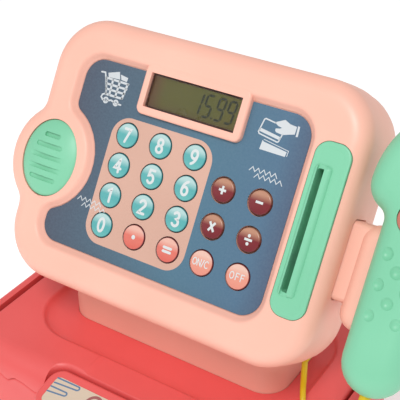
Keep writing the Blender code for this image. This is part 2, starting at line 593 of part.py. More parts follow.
def electronics(frame):
    """Rubber key mat, circuit board, two cells and their door."""
    add("key_mat", box_mesh("key_mat", (-48 * MM, -45 * MM, -7.6 * MM), (60 * MM, 26 * MM, -6 * MM)), "dark_rubber", frame)
    add("circuit_board", box_mesh("circuit_board", (-52 * MM, -48 * MM, -10 * MM), (64 * MM, 56 * MM, -8 * MM)), "circuit_green", frame)
    for i in (0, 1):
        cell = turned(f"battery_{i + 1}", [(0, 25.2 * MM), (2.7 * MM, 25.2 * MM), (2.7 * MM, 24 * MM), (7.1 * MM, 23.6 * MM),
                                           (7.1 * MM, -25 * MM), (0, -25 * MM)], "battery_wrap", frame)
        cell.location = (0, (i - 0.5) * 16 * MM + 14 * MM, HEAD_BACK + 11.5 * MM)
        cell.rotation_euler = (0, pi / 2 if i else -pi / 2, 0)
    door = rounded_box_arcs(*DOOR, 4 * MM)
    add("battery_door", prism_mesh("battery_door", door, HEAD_BACK + 0.2 * MM, HEAD_BACK + 2.6 * MM), "peach_plastic", frame)


def screw(name, x, y, head_at, towards, parent=None):
    """A cross-head screw along z: its head's outer face is at head_at and its shank runs towards (+1 or -1)."""
    profile = [(0, 0), (2.6 * MM, -0.1 * MM), (3 * MM, -0.8 * MM), (3 * MM, -1.4 * MM), (1.25 * MM, -1.5 * MM), (1.25 * MM, -9 * MM), (0, -9.6 * MM)]
    made = turned(name, profile, "steel", parent, steps=12)
    made.location = (x, y, head_at)
    made.rotation_euler = (0, pi, 0) if towards > 0 else (0, 0, 0)
    made_slots(made, name)
    return made


def made_slots(screw_obj, name):
    """Cuts the cross recess, in the screw's own frame."""
    for i, (across, along) in enumerate(((1.9, 0.35), (0.35, 1.9))):
        mesh = box_mesh("recess", (-across * MM, -along * MM, -0.9 * MM), (across * MM, along * MM, 1 * MM))
        boolean(screw_obj, add_cutter(f"{name}_recess_{i}", mesh, screw_obj))


# ---------------------------------------------------------------- neck, cradle and scanner

def neck_block(head_frame):
    """The head's neck: a rounded block through the trough floor, cut to the head's underside."""
    n = NECK
    rings = []
    for back, z in ((n["back"], 53 * MM), (n["back"], 84 * MM), (n["back"] - 16 * MM, 128 * MM)):
        rings.append(level(outline(rounded_box_arcs(-n["half_x"], n["half_x"], n["front"], back, n["corner"])), z))
    neck = add("neck_block", loft_mesh("neck_block", rings), "peach_plastic")
    arcs = head_arcs()
    hull = [level(outline(arcs, inset * MM - GAP), z) for inset, z in
            ((14, HEAD_BACK - GAP), (8, HEAD_BACK + 1 * MM), (3, HEAD_BACK + 5.8 * MM), (0.8, HEAD_BACK + 12.8 * MM),
             (0, PARTING), (0, 10 * MM))]
    boolean(neck, add_cutter("head_envelope", loft_mesh("head_envelope", hull), head_frame))
    inner = rounded_box_arcs(-n["half_x"], n["half_x"], n["front"], n["back"], n["corner"])
    boolean(neck, add_cutter("neck_hollow", prism_mesh("neck_hollow", inner, 45 * MM, 78 * MM, 3 * MM)))
    return neck


def handset_rings(side, count=4, grow=0.0, stop=1.0):
    """Rings of the scanner's front (side 1) or back (side -1) half, from its parting plane outwards.

    The head is thicker than the grip, so heights grow above the grip's top.
    """
    rings = []
    for a, b in fillet_steps(count):
        if b > stop:
            break
        inset = 12 * MM * a - grow
        height = (HAND_HALF_T + grow) * b
        rings.append([(x, y, HAND_PARTING + side * height * thickness_at(y)) for x, y in outline(handset_arcs(), inset)])
    return rings


def thickness_at(y):
    """Thickness of the scanner along its length: 1 on the grip, 1.2 on its head."""
    t = min(1.0, max(0.0, (y - 5 * MM) / (25 * MM)))
    return 1 + 0.2 * t * t * (3 - 2 * t)


def handset(frame):
    """Two half shells, the scan button, the window at the head's end and the cord's strain relief."""
    front_rings = handset_rings(1)
    back_rings = [[(x, y, z - GAP) for x, y, z in ring] for ring in handset_rings(-1)]
    front = add("handset_front_shell", loft_mesh("handset_front_shell", front_rings), "mint_plastic", frame)
    back = add("handset_back_shell", loft_mesh("handset_back_shell", back_rings), "mint_plastic", frame)
    hollow = [[(x, y, HAND_PARTING + z) for x, y in outline(handset_arcs(), inset * MM)] for inset, z in
              ((7, -9.4 * MM), (3.5, -6 * MM), (2.6, 0), (3.5, 6 * MM), (7, 9.4 * MM))]
    cavity = add_cutter("handset_hollow", loft_mesh("handset_hollow", hollow), frame)
    boolean(front, cavity)
    boolean(back, cavity)
    b = SCAN_BUTTON
    boolean(front, add_cutter("button_hole", cylinder_mesh(
        "button_hole", (HAND_X, b["y"]), b["r"] + GAP, -6 * MM, 14 * MM, 24), frame))
    button = turned("scan_button", [(0, 1.6 * MM), (b["r"] * 0.7, 1.2 * MM), (b["r"] - 0.6 * MM, 0.5 * MM), (b["r"], -0.6 * MM),
                                    (b["r"], -5.2 * MM), (0, -5.2 * MM)], "pink_key", frame, steps=24)
    button.location = (HAND_X, b["y"], HAND_FACE)
    slot = box_mesh("window_slot", (HAND_X - 11 * MM, 61 * MM, -9 * MM), (HAND_X + 11 * MM, 80 * MM, 3 * MM))
    window_cut = add_cutter("window_slot", slot, frame)
    boolean(front, window_cut)
    boolean(back, window_cut)
    add("scanner_window", box_mesh("scanner_window", (HAND_X - 10.7 * MM, 61.3 * MM, -8.7 * MM),
                                   (HAND_X + 10.7 * MM, 66 * MM, 2.7 * MM)), "red_lens", frame)
    relief_hole = add_cutter("relief_hole", along_y_cylinder("relief_hole", 3 * MM, -70 * MM, -55 * MM), frame)
    boolean(front, relief_hole)
    boolean(back, relief_hole)
    long = RELIEF_LENGTH
    relief = turned("handset_strain_relief", [(0, 0), (2.7 * MM, 0), (2.7 * MM, -8 * MM), (2.1 * MM, -long), (0, -long)],
                    "yellow_cord", frame, steps=12)
    relief.location = (HAND_X, RELIEF_TOP, HAND_PARTING)
    relief.rotation_euler = (-pi / 2, 0, 0)
    return front


def along_y_cylinder(name, radius, low, high):
    """A cylinder along the head's y axis, on the scanner's centreline."""
    bm = bmesh.new()
    turn = Matrix.Translation((HAND_X, (low + high) / 2, HAND_PARTING)) @ Matrix.Rotation(pi / 2, 4, "X")
    bmesh.ops.create_cone(bm, cap_ends=True, segments=16, radius1=radius, radius2=radius, depth=high - low, matrix=turn)
    return mesh_from(bm, name)


def handset_cradle(frame):
    """Side bracket: an arm out of the head's side and a trough that the scanner's grip lies in."""
    c, a = CRADLE, CRADLE_ARM
    arcs = rounded_box_arcs(HAND_X - c["half_x"], HAND_X + c["half_x"], c["bottom"], c["top"], 9 * MM)
    rings = [level(outline(arcs, inset * MM), z) for inset, z in
             ((5, c["back"]), (1.5, c["back"] + 1.5 * MM), (0, c["back"] + 5 * MM), (0, c["front"] - 7.5 * MM),
              (1, c["front"] - 3.75 * MM), (3.75, c["front"] - 1 * MM), (7.5, c["front"]))]
    cradle = add("handset_cradle", loft_mesh("handset_cradle", rings), "peach_plastic", frame)
    arm = box_mesh("cradle_arm", (90 * MM, a["bottom"], a["back"]), (HAND_X - 20 * MM, a["top"], a["front"]))
    boolean(cradle, add_cutter("cradle_arm", arm, frame), "UNION")
    lower = list(reversed(handset_rings(-1, 4, 1.1 * MM)))
    top = [[(x, y, 20 * MM) for x, y, _ in lower[-1]]]
    boolean(cradle, add_cutter("grip_space", loft_mesh("grip_space", lower + top), frame))
    return cradle


def gland_axis_cylinder(name, radius, low, high):
    """A cylinder along the world's z through the cord gland, in the head's frame."""
    bm = bmesh.new()
    low, high = min(low, high), max(low, high)
    down = Matrix.Rotation(-(pi / 2 - PANEL_TILT), 4, "X")
    place = Matrix.Translation(GLAND_LOCAL) @ down @ Matrix.Translation((0, 0, (low + high) / 2))
    bmesh.ops.create_cone(bm, cap_ends=True, segments=12, radius1=radius, radius2=radius, depth=high - low, matrix=place)
    return mesh_from(bm, name)


def head_strain_relief():
    """Gland under the head that the scanner's cord leaves straight down."""
    profile = [(0, 1 * MM), (2.9 * MM, 1 * MM), (2.9 * MM, -1 * MM), (2.3 * MM, -2.5 * MM), (0, -2.5 * MM)]
    relief = turned("head_strain_relief", profile, "yellow_cord", steps=12)
    relief.location = GLAND_WORLD
    return relief


def catmull(points, samples):
    """A smooth curve through the points, with about the given number of samples in all."""
    points = [Vector(p) for p in points]
    ends = [2 * points[0] - points[1]] + points + [2 * points[-1] - points[-2]]
    per_span = max(2, round(samples / (len(points) - 1)))
    line = []
    for a, b, c, d in zip(ends, ends[1:], ends[2:], ends[3:]):
        for i in range(per_span):
            t = i / per_span
            line.append(0.5 * ((2 * b) + (c - a) * t + (2 * a - 5 * b + 4 * c - d) * t * t + (3 * b - a - 3 * c + d) * t ** 3))
    return line + [points[-1]]


def handset_cord():
    """The scanner's cord: from under the head, over the deck's edge, along the table and up to the grip's end."""
    curve = bpy.data.curves.new("handset_cord", "CURVE")
    curve.dimensions = "3D"
    curve.bevel_depth = CORD_R
    curve.bevel_resolution = 2
    curve.use_fill_caps = True
    line = catmull(CORD_ROUTE, 60)
    spline = curve.splines.new("POLY")
    spline.points.add(len(line) - 1)
    for point, place in zip(spline.points, line):
        point.co = (*place, 1)
    cord = bpy.data.objects.new("handset_cord", curve)
    PARTS.objects.link(cord)
    curve.materials.append(material("yellow_cord"))
    return cord


def to_world(x, y, z):
    return HEAD_ORIGIN + Matrix.Rotation(pi / 2 - PANEL_TILT, 3, "X") @ Vector((x, y, z))


BASE_SCREWS = ((-99.7 * MM, -46 * MM), (99.7 * MM, -46 * MM), (-99.7 * MM, 33 * MM), (99.7 * MM, 33 * MM))
HEAD_SCREWS = ((-60 * MM, 48 * MM), (60 * MM, 48 * MM), (-60 * MM, 4 * MM), (60 * MM, 4 * MM))
DOOR = (-34 * MM, 34 * MM, -4 * MM, 34 * MM)
CRADLE_ARM = dict(bottom=-30 * MM, top=11 * MM, back=-23 * MM, front=-10 * MM)
SCAN_BUTTON = dict(y=20.5 * MM, r=7.5 * MM, travel=1.5 * MM)
HAND_FACE = 10.6 * MM
GLAND_WORLD = Vector((86, -10.8, 98)) * MM
GLAND_LOCAL = Matrix.Rotation(-(pi / 2 - PANEL_TILT), 3, "X") @ (GLAND_WORLD - HEAD_ORIGIN)
RELIEF_LENGTH = 20 * MM
RELIEF_TOP = -61 * MM
RELIEF_END = to_world(HAND_X, RELIEF_TOP - RELIEF_LENGTH - GAP, HAND_PARTING)
DOWN_GRIP = (to_world(0, -1, 0) - to_world(0, 0, 0)).normalized()
CORD_MIDDLE = (
    (86, -10.9, 88), (86, -10.9, 81), (86.1, -11.2, 75.2), (87.8, -14, 69.9), (91.2, -19.6, 67.8), (94.6, -25.2, 67.8),
    (99.6, -29.8, 68.2), (106.2, -31.6, 69.3), (112.3, -32.3, 68.2), (116.2, -33.2, 63), (117.2, -34.5, 54),
    (116.6, -36, 40), (117, -37.5, 24), (119.5, -39, 12), (125.5, -40.5, 4.2), (134, -42, 1.7), (147, -40, 1.7),
    (159, -29, 1.7), (165, -10, 1.7), (165, 11, 1.7), (158, 28, 1.7), (144, 35, 1.7), (132, 27, 1.7),
    (127.5, 8, 1.7), (127.3, -9, 1.9), (127.8, -25, 4.5), (128, -37, 12), (128.6, -46, 26),
    (129.3, -51.5, 45), (129.9, -53, 66),
)
CORD_ROUTE = ([GLAND_WORLD + Vector((0, 0, -2.8)) * MM] + [Vector(point) * MM for point in CORD_MIDDLE]
              + [RELIEF_END + DOWN_GRIP * 9 * MM, RELIEF_END])

clear_scene()
PARTS = collection("toy_cash_register")
CUTTERS = collection("cutters")
CUTTERS.hide_render = True


def main():
    head_frame = bpy.data.objects.new("head_frame", None)
    PARTS.objects.link(head_frame)
    head_frame.location = HEAD_ORIGIN
    head_frame.rotation_euler = (pi / 2 - PANEL_TILT, 0, 0)
    base_tub()
    base_top_cover()
    drawer_front()
    drawer_label()
    drawer_tray()
    neck_block(head_frame)
    head_front_shell(head_frame)
    head_back_cover(head_frame)
    control_overlay(head_frame)
    display(head_frame)
    speaker(head_frame)
    card_slot(head_frame)
    electronics(head_frame)
    for place in key_places():
        key(*place, head_frame)
    handset(head_frame)
    handset_cradle(head_frame)
    head_strain_relief()
    handset_cord()
    for i, (x, y) in enumerate(BASE_SCREWS):
        screw(f"base_screw_{i + 1}", x, y, 0.3 * MM, 1)
    for i, (x, y) in enumerate(HEAD_SCREWS):
        screw(f"head_screw_{i + 1}", x, y, HEAD_BACK + 0.1 * MM, 1, head_frame)


main()
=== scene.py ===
"""Looks for the toy cash register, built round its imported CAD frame. Sizes are in millimetres until a
mesh is made."""
import json
from math import atan2, cos, degrees, hypot, pi, radians, sin

import bmesh
import bpy
from mathutils import Matrix, Vector


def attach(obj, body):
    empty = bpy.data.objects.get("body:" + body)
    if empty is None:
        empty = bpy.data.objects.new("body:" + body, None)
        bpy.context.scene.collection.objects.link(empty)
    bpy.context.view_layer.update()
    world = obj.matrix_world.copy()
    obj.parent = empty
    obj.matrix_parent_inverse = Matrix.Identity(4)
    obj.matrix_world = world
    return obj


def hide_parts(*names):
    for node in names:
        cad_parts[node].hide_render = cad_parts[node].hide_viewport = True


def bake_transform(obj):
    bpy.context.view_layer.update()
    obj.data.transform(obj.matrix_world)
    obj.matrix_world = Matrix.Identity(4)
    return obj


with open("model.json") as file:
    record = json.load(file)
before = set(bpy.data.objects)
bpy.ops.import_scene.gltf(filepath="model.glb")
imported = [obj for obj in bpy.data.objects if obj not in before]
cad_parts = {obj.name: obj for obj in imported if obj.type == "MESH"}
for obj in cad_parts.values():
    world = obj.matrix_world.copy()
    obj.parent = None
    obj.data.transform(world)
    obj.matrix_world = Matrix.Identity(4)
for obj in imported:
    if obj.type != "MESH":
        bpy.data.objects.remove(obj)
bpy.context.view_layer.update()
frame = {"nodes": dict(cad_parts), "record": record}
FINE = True
ARC = 14 if FINE else 8
MM = 0.001

# ---------------------------------------------------------------- sizes shared with the CAD, in millimetres
TILT = radians(32)
HEAD_ORIGIN = (0, -1.74, 169)
HEAD = Matrix.Translation(Vector(HEAD_ORIGIN) * MM) @ Matrix.Rotation(pi / 2 - TILT, 4, "X")
GAP = 0.3
BASE_X, BASE_Y, BASE_TOP, BASE_FRONT_R, BASE_REAR_R = 113, 71, 66, 16, 38
COVER_X, COVER_BACK, COVER_FRONT_R, COVER_REAR_R = 103.75, 61.75, 6, 28.75
ROLL_Y, ROLL_R = -57, 14
TROUGH = dict(left=-86, right=86, bottom=-41, top=56, r=30)
NECK = dict(left=-72, right=72, bottom=-14.5, top=44, r=15)
FRONT_X = 103.4
TAB_X, TAB_BACK, TAB_LENGTH, TAB_SLOPE = 43.5, -59, 27, radians(14)
HEAD_X, HEAD_Y, HEAD_R = 97.3, 75, 30
EAR_X, EAR_Y, EAR_R, EAR_FILLET = -77, -9, 34, 8
PARTING, HEAD_BACK = -27, -51
NOTCH_X, NOTCH_Y, NOTCH_R, NOTCH_FILLET = -84, -6.5, 31, 6
PANEL_LEFT, PANEL_RIGHT, PANEL_BOTTOM, PANEL_TOP = -74.2, 66.8, -52.5, 53
KEY_R, KEY_HOLE_R = 6.8, 7.2
LCD_X, LCD_Y, LCD_HALF_X, LCD_HALF_Y, LCD_FRAME = -2.2, 43.6, 28.2, 9.3, 4.3
GRILLE_X, GRILLE_Y, GRILLE_RX, GRILLE_RY, GRILLE_DOME = -80.2, -8.5, 18.1, 21.8, 4.5
CARD_X, CARD_HALF_X, CARD_HALF_Y, CARD_R = 81.6, 9.7, 44.5, 7.5
SLOT_X, SLOT_Y, SLOT_HALF_X, SLOT_HALF_Y = 78.2, -1, 1.9, 31.5
HAND_X, HAND_PARTING, HAND_HALF_T, GRIP_X, GRIP_BOTTOM = 130, -3, 12, 16.4, -66.5
CORD_R = 1.6


# ---------------------------------------------------------------- camera and cord

def to_world(x, y, z):
    return HEAD @ (Vector((x, y, z)) * MM) / MM


def catmull(points, per_span):
    """A smooth curve through the points."""
    points = [Vector(p) for p in points]
    ends = [2 * points[0] - points[1]] + points + [2 * points[-1] - points[-2]]
    line = []
    for a, b, c, d in zip(ends, ends[1:], ends[2:], ends[3:]):
        for i in range(per_span):
            t = i / per_span
            line.append(0.5 * ((2 * b) + (c - a) * t + (2 * a - 5 * b + 4 * c - d) * t * t
                               + (3 * b - a - 3 * c + d) * t ** 3))
    return line + [points[-1]]


def add_camera():
    camera = bpy.data.objects.new("camera", bpy.data.cameras.new("camera"))
    bpy.context.scene.collection.objects.link(camera)
    right, down, ahead = (0.8369, 0.5473, -0.0079), (0.2905, -0.4564, -0.8410), (-0.4639, 0.7016, -0.5409)
    turn = Matrix((right, [-x for x in down], [-x for x in ahead])).transposed().to_4x4()
    camera.matrix_world = Matrix.Translation(Vector((257.1, -367, 446)) * MM) @ turn
    camera.data.lens = 90
    camera.data.sensor_width = 36
    camera.data.clip_start = 0.02
    camera.data.clip_end = 20
    bpy.context.scene.camera = camera


GLAND = Vector((86, -10.8, 98))
RELIEF_TOP, RELIEF_LENGTH = -61, 20
RELIEF_END = to_world(HAND_X, RELIEF_TOP - RELIEF_LENGTH - GAP, HAND_PARTING)
DOWN_GRIP = (to_world(0, -1, 0) - to_world(0, 0, 0)).normalized()
CORD_MIDDLE = (
    (86, -10.9, 88), (86, -10.9, 81), (86.1, -11.2, 75.2), (87.8, -14, 69.9), (91.2, -19.6, 67.8),
    (94.6, -25.2, 67.8), (99.6, -29.8, 68.2), (106.2, -31.6, 69.3), (112.3, -32.3, 68.2),
    (116.2, -33.2, 63), (117.2, -34.5, 54), (116.6, -36, 40), (117, -37.5, 24), (119.5, -39, 12),
    (125.5, -40.5, 4.2), (134, -42, 1.7), (147, -40, 1.7),
    (159, -29, 1.7), (165, -10, 1.7), (165, 11, 1.7), (158, 28, 1.7), (144, 35, 1.7), (132, 27, 1.7),
    (127.5, 8, 1.7), (127.3, -9, 1.9), (127.8, -25, 4.5), (128, -37, 12), (128.6, -46, 26),
    (129.3, -51.5, 45), (129.9, -53, 66),
)


# ---------------------------------------------------------------- materials

def linear(rgb):
    """Linear albedo of a colour that is given in sRGB 0-255 as it looks on a face turned to the light."""
    return tuple(min(1.0, (((c / 255 + 0.055) / 1.055) ** 2.4) / 1.37) for c in rgb)


class Nodes:
    """A material's node tree, with short ways to add and join nodes."""

    def __init__(self, name):
        self.material = bpy.data.materials.new(name)
        self.material.use_nodes = True
        self.tree = self.material.node_tree
        self.shader = self.tree.nodes["Principled BSDF"]
        self.coords = self.tree.nodes.new("ShaderNodeTexCoord").outputs["Object"]

    def node(self, kind, **settings):
        made = self.tree.nodes.new("ShaderNode" + kind)
        for key, value in settings.items():
            setattr(made, key, value)
        return made

    def join(self, source, target):
        self.tree.links.new(source, target)

    def noise(self, per_metre, detail=2.0):
        made = self.node("TexNoise")
        made.inputs["Scale"].default_value = per_metre
        made.inputs["Detail"].default_value = detail
        self.join(self.coords, made.inputs["Vector"])
        return made.outputs["Fac"]

    def remap(self, value, low, high, to_low=0.0, to_high=1.0):
        made = self.node("MapRange")
        for key, number in (("From Min", low), ("From Max", high), ("To Min", to_low),
                            ("To Max", to_high)):
            made.inputs[key].default_value = number
        self.join(value, made.inputs["Value"])
        return made.outputs["Result"]

    def mix(self, share, first, second):
        """Colour mix; each colour is an output or an sRGB triple."""
        made = self.node("Mix", data_type="RGBA")
        self.join(share, made.inputs["Factor"])
        for socket, colour in ((made.inputs[6], first), (made.inputs[7], second)):
            if isinstance(colour, tuple):
                socket.default_value = (*linear(colour), 1)
            else:
                self.join(colour, socket)
        return made.outputs[2]

    def ramp(self, value, stops, interpolation="LINEAR"):
        made = self.node("ValToRGB")
        made.color_ramp.interpolation = interpolation
        elements = made.color_ramp.elements
        while len(elements) < len(stops):
            elements.new(0.5)
        for element, (place, colour) in zip(elements, stops):
            element.position = place
            element.color = (*linear(colour), 1)
        self.join(value, made.inputs["Fac"])
        return made.outputs["Color"]

    def bump(self, height, strength, depth_mm):
        made = self.node("Bump")
        made.inputs["Strength"].default_value = strength
        made.inputs["Distance"].default_value = depth_mm * MM
        self.join(height, made.inputs["Height"])
        self.join(made.outputs["Normal"], self.shader.inputs["Normal"])

    def finish(self, colour, roughness=0.4, spread=0.05, grain=1400, bump=0.12, **constants):
        """Base colour with moulded-plastic roughness variation and a fine bump, and constant values on
        sockets."""
        if isinstance(colour, tuple):
            tint = tuple(max(0, c - 7) for c in colour)
            colour = self.mix(self.remap(self.noise(14), 0.35, 0.65), colour, tint)
        self.join(colour, self.shader.inputs["Base Color"])
        self.join(self.remap(self.noise(60), 0.3, 0.7, roughness - spread, roughness + spread),
                  self.shader.inputs["Roughness"])
        if bump:
            self.bump(self.noise(grain, 3.0), bump, 0.05)
        for key, value in constants.items():
            self.shader.inputs[key.replace("_", " ")].default_value = value
        return self.material


def plastic(name, colour, roughness=0.42, **settings):
    return Nodes(name).finish(colour, roughness, **settings)


def split_y(nodes):
    made = nodes.node("SeparateXYZ")
    nodes.join(nodes.coords, made.inputs["Vector"])
    return made.outputs["Y"]


def key_material(name, top, middle, bottom, edge):
    """Printed key: pale upper half, darker lower half, and a thin ring at its edge. The key's axis is
    its z."""
    nodes = Nodes(name)
    stops = [(0.0, bottom), (0.35, middle), (0.52, middle), (0.8, top), (1.0, top)]
    face = nodes.ramp(nodes.remap(split_y(nodes), -KEY_R * MM, KEY_R * MM), stops)
    flat = nodes.node("VectorMath", operation="MULTIPLY")
    nodes.join(nodes.coords, flat.inputs[0])
    flat.inputs[1].default_value = (1, 1, 0)
    length = nodes.node("VectorMath", operation="LENGTH")
    nodes.join(flat.outputs["Vector"], length.inputs[0])
    ring = nodes.remap(length.outputs["Value"], 0.00625, 0.0064)
    return nodes.finish(nodes.mix(ring, face, edge), 0.3, spread=0.04, bump=0.05)


def panel_material():
    """Blue printed film: a purplish shade towards the left and a faint fabric-like grain."""
    nodes = Nodes("panel_film")
    split = nodes.node("SeparateXYZ")
    nodes.join(nodes.coords, split.inputs["Vector"])
    across = nodes.ramp(nodes.remap(split.outputs["X"], -0.075, 0.067), [
        (0.0, (78, 88, 108)), (0.3, (80, 108, 128)), (0.62, (82, 126, 150)), (0.9, (82, 120, 150)),
        (1.0, (78, 98, 128))])
    speckle = nodes.remap(nodes.noise(900, 4.0), 0.35, 0.65)
    colour = nodes.mix(nodes.remap(speckle, 0, 1, 0.0, 0.16), across, (120, 150, 170))
    return nodes.finish(colour, 0.5, bump=0.25, grain=1100)


def lcd_material():
    nodes = Nodes("lcd_face")
    split = nodes.node("SeparateXYZ")
    nodes.join(nodes.coords, split.inputs["Vector"])
    base = nodes.ramp(nodes.remap(split.outputs["X"], -0.031, 0.027), [
        (0.0, (92, 58, 30)), (0.08, (104, 78, 40)), (0.17, (100, 96, 40)), (0.7, (98, 98, 38)),
        (1.0, (104, 96, 34))])
    low = nodes.remap(split.outputs["Y"], 0.034, 0.040, 0.35, 0.0)
    return nodes.finish(nodes.mix(low, base, (104, 70, 34)), 0.3, bump=0.0)


# ---------------------------------------------------------------- mesh helpers

def new_mesh(bm, name):
    """The finished mesh: outward normals, and millimetres turned to metres."""
    bmesh.ops.recalc_face_normals(bm, faces=bm.faces)
    bmesh.ops.scale(bm, vec=(MM, MM, MM), verts=bm.verts)
    mesh = bpy.data.meshes.new(name)
    bm.to_mesh(mesh)
    bm.free()
    return mesh


def outline(arcs, inset=0.0, per_arc=None):
    """Closed outline of arcs (x, y, r, start, end), moved inwards; an arc that runs clockwise is a
    concave one."""
    count = per_arc or ARC
    points = []
    for x, y, r, start, end in arcs:
        radius = r - inset if end > start else r + inset
        for i in range(count):
            angle = radians(start + (end - start) * i / (count - 1))
            points.append((x + radius * cos(angle), y + radius * sin(angle)))
    return points


def box_arcs(left, right, bottom, top, r):
    return [(right - r, bottom + r, r, -90, 0), (right - r, top - r, r, 0, 90),
            (left + r, top - r, r, 90, 180), (left + r, bottom + r, r, 180, 270)]


def level(points, z):
    return [(x, y, z) for x, y in points]


def loft(name, rings, closed=False):
    """A solid through rings of equal point count, capped, or with closed a ring-shaped solid."""
    bm = bmesh.new()
    loops = [[bm.verts.new(point) for point in ring] for ring in rings]
    pairs = list(zip(loops, loops[1:])) + ([(loops[-1], loops[0])] if closed else [])
    for lower, upper in pairs:
        for i, vert in enumerate(lower):
            after = (i + 1) % len(lower)
            bm.faces.new((vert, lower[after], upper[after], upper[i]))
    if not closed:
        bm.faces.new(list(reversed(loops[0])))
        bm.faces.new(loops[-1])
    return new_mesh(bm, name)


def stack(name, arcs, steps, per_arc=None):
    """A solid of one outline at several (inset, height) steps."""
    return loft(name, [level(outline(arcs, inset, per_arc), z) for inset, z in steps])


def turned(name, profile, segments=64, scale_y=1.0, place=(0, 0)):
    """A turned solid about z: profile is (radius, z) from the bottom's centre round to the top's
    centre."""
    rings = []
    for radius, z in profile:
        radius = max(radius, 0.001)
        rings.append([(place[0] + radius * cos(2 * pi * i / segments),
                       place[1] + radius * scale_y * sin(2 * pi * i / segments), z)
                       for i in range(segments)])
    return loft(name, rings)


def cuboid(name, low, high):
    rings = [[(low[0], low[1], z), (high[0], low[1], z), (high[0], high[1], z), (low[0], high[1], z)]
             for z in (low[2], high[2])]
    return loft(name, rings)


def quarter(radius, count, z_top):
    """(inset, z) steps of a rounded upper edge."""
    return [(radius * (1 - cos(i * pi / 2 / count)), z_top - radius + radius * sin(i * pi / 2 / count))
            for i in range(count + 1)]


def temporary(mesh, place=None):
    obj = bpy.data.objects.new("temporary", mesh)
    bpy.context.scene.collection.objects.link(obj)
    if place:
        obj.matrix_world = place
    return obj


def evaluated(obj):
    bpy.context.view_layer.update()
    graph = bpy.context.evaluated_depsgraph_get()
    return bpy.data.meshes.new_from_object(obj.evaluated_get(graph))


def carve(mesh, cuts=(), unions=(), bevel=0.0, segments=3, angle=40):
    """The mesh with others joined and cut away, and with bevel, its sharp edges rounded by that many
    millimetres."""
    obj = temporary(mesh)
    tools = []
    for others, operation in ((unions, "UNION"), (cuts, "DIFFERENCE")):
        for other in others:
            other, place = other if isinstance(other, tuple) else (other, None)
            tool = temporary(other, place)
            tools.append(tool)
            modifier = obj.modifiers.new("cut", "BOOLEAN")
            modifier.object = tool
            modifier.operation = operation
    if bevel:
        modifier = obj.modifiers.new("tidy", "WELD")
        modifier.merge_threshold = 0.00001
        modifier = obj.modifiers.new("round", "BEVEL")
        modifier.width = bevel * MM
        modifier.segments = segments
        modifier.limit_method = "ANGLE"
        modifier.angle_limit = radians(angle)
        modifier.use_clamp_overlap = True
    result = evaluated(obj)
    for tool in tools + [obj]:
        bpy.data.objects.remove(tool)
    return result


def put(name, mesh, material, body, replaces=(), place=None, sharp=42, weighted=True):
    """A piece in its place, with its finish, riding on its body."""
    obj = bpy.data.objects.new(name, mesh)
    bpy.context.scene.collection.objects.link(obj)
    if place:
        obj.matrix_world = place
    mesh.materials.clear()
    mesh.materials.append(material)
    mesh.shade_smooth()
    mesh.set_sharp_from_angle(angle=radians(sharp))
    if weighted:
        modifier = obj.modifiers.new("normals", "WEIGHTED_NORMAL")
        modifier.keep_sharp = True
    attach(obj, body)
    if replaces:
        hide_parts(*replaces)
    return obj


# ---------------------------------------------------------------- outlines

def head_arcs():
    fillet_x = -HEAD_X - EAR_FILLET
    rise = ((EAR_R + EAR_FILLET) ** 2 - (fillet_x - EAR_X) ** 2) ** 0.5
    turn = degrees(atan2(rise, EAR_X - fillet_x))
    x, y, r = HEAD_X, HEAD_Y, HEAD_R
    return [(x - r, r - y, r, -90, 0), (x - r, y - r, r, 0, 90), (r - x, y - r, r, 90, 180),
            (fillet_x, EAR_Y + rise, EAR_FILLET, 0, -turn), (EAR_X, EAR_Y, EAR_R, 180 - turn, 180 + turn),
            (fillet_x, EAR_Y - rise, EAR_FILLET, turn, 0), (r - x, r - y, r, 180, 270)]


def panel_arcs():
    big, small, f = 12, 10, NOTCH_FILLET
    fillet_x = PANEL_LEFT + f
    rise = ((NOTCH_R + f) ** 2 - (fillet_x - NOTCH_X) ** 2) ** 0.5
    turn = degrees(atan2(rise, fillet_x - NOTCH_X))
    return [(PANEL_RIGHT - big, PANEL_BOTTOM + big, big, -90, 0),
            (PANEL_RIGHT - big, PANEL_TOP - big, big, 0, 90),
            (PANEL_LEFT + big, PANEL_TOP - big, big, 90, 180),
            (fillet_x, NOTCH_Y + rise, f, 180, 180 + turn),
            (NOTCH_X, NOTCH_Y, NOTCH_R, turn, -turn), (fillet_x, NOTCH_Y - rise, f, 180 - turn, 180),
            (PANEL_LEFT + small, PANEL_BOTTOM + small, small, 180, 270)]


def handset_arcs():
    bottom, c = GRIP_BOTTOM + GRIP_X, HAND_X
    cheek_x, cheek_y, cheek_r, f, side_r, top_turn = 14, 33.5, 14, 6, 50, 32
    fillet_x = GRIP_X + f
    drop = ((cheek_r + f) ** 2 - (fillet_x - cheek_x) ** 2) ** 0.5
    turn = degrees(atan2(drop, fillet_x - cheek_x))
    side_x = cheek_x + cheek_r - side_r
    slope = radians(top_turn)
    top_y, top_r = cheek_y - side_x * sin(slope) / cos(slope), side_r + side_x / cos(slope)
    return [(c, bottom, GRIP_X, 180, 360), (c + fillet_x, cheek_y - drop, f, 180, 180 - turn),
            (c + cheek_x, cheek_y, cheek_r, -turn, 0), (c + side_x, cheek_y, side_r, 0.5, top_turn - 0.5),
            (c, top_y, top_r, top_turn, 180 - top_turn),
            (c - side_x, cheek_y, side_r, 180.5 - top_turn, 179.5),
            (c - cheek_x, cheek_y, cheek_r, 180, 180 + turn), (c - fillet_x, cheek_y - drop, f, turn, 0)]


def base_arcs():
    x, y, front, rear = BASE_X, BASE_Y, BASE_FRONT_R, BASE_REAR_R
    return [(x - front, front - y, front, -90, 0), (x - rear, y - rear, rear, 0, 90),
            (rear - x, y - rear, rear, 90, 180), (front - x, front - y, front, 180, 270)]


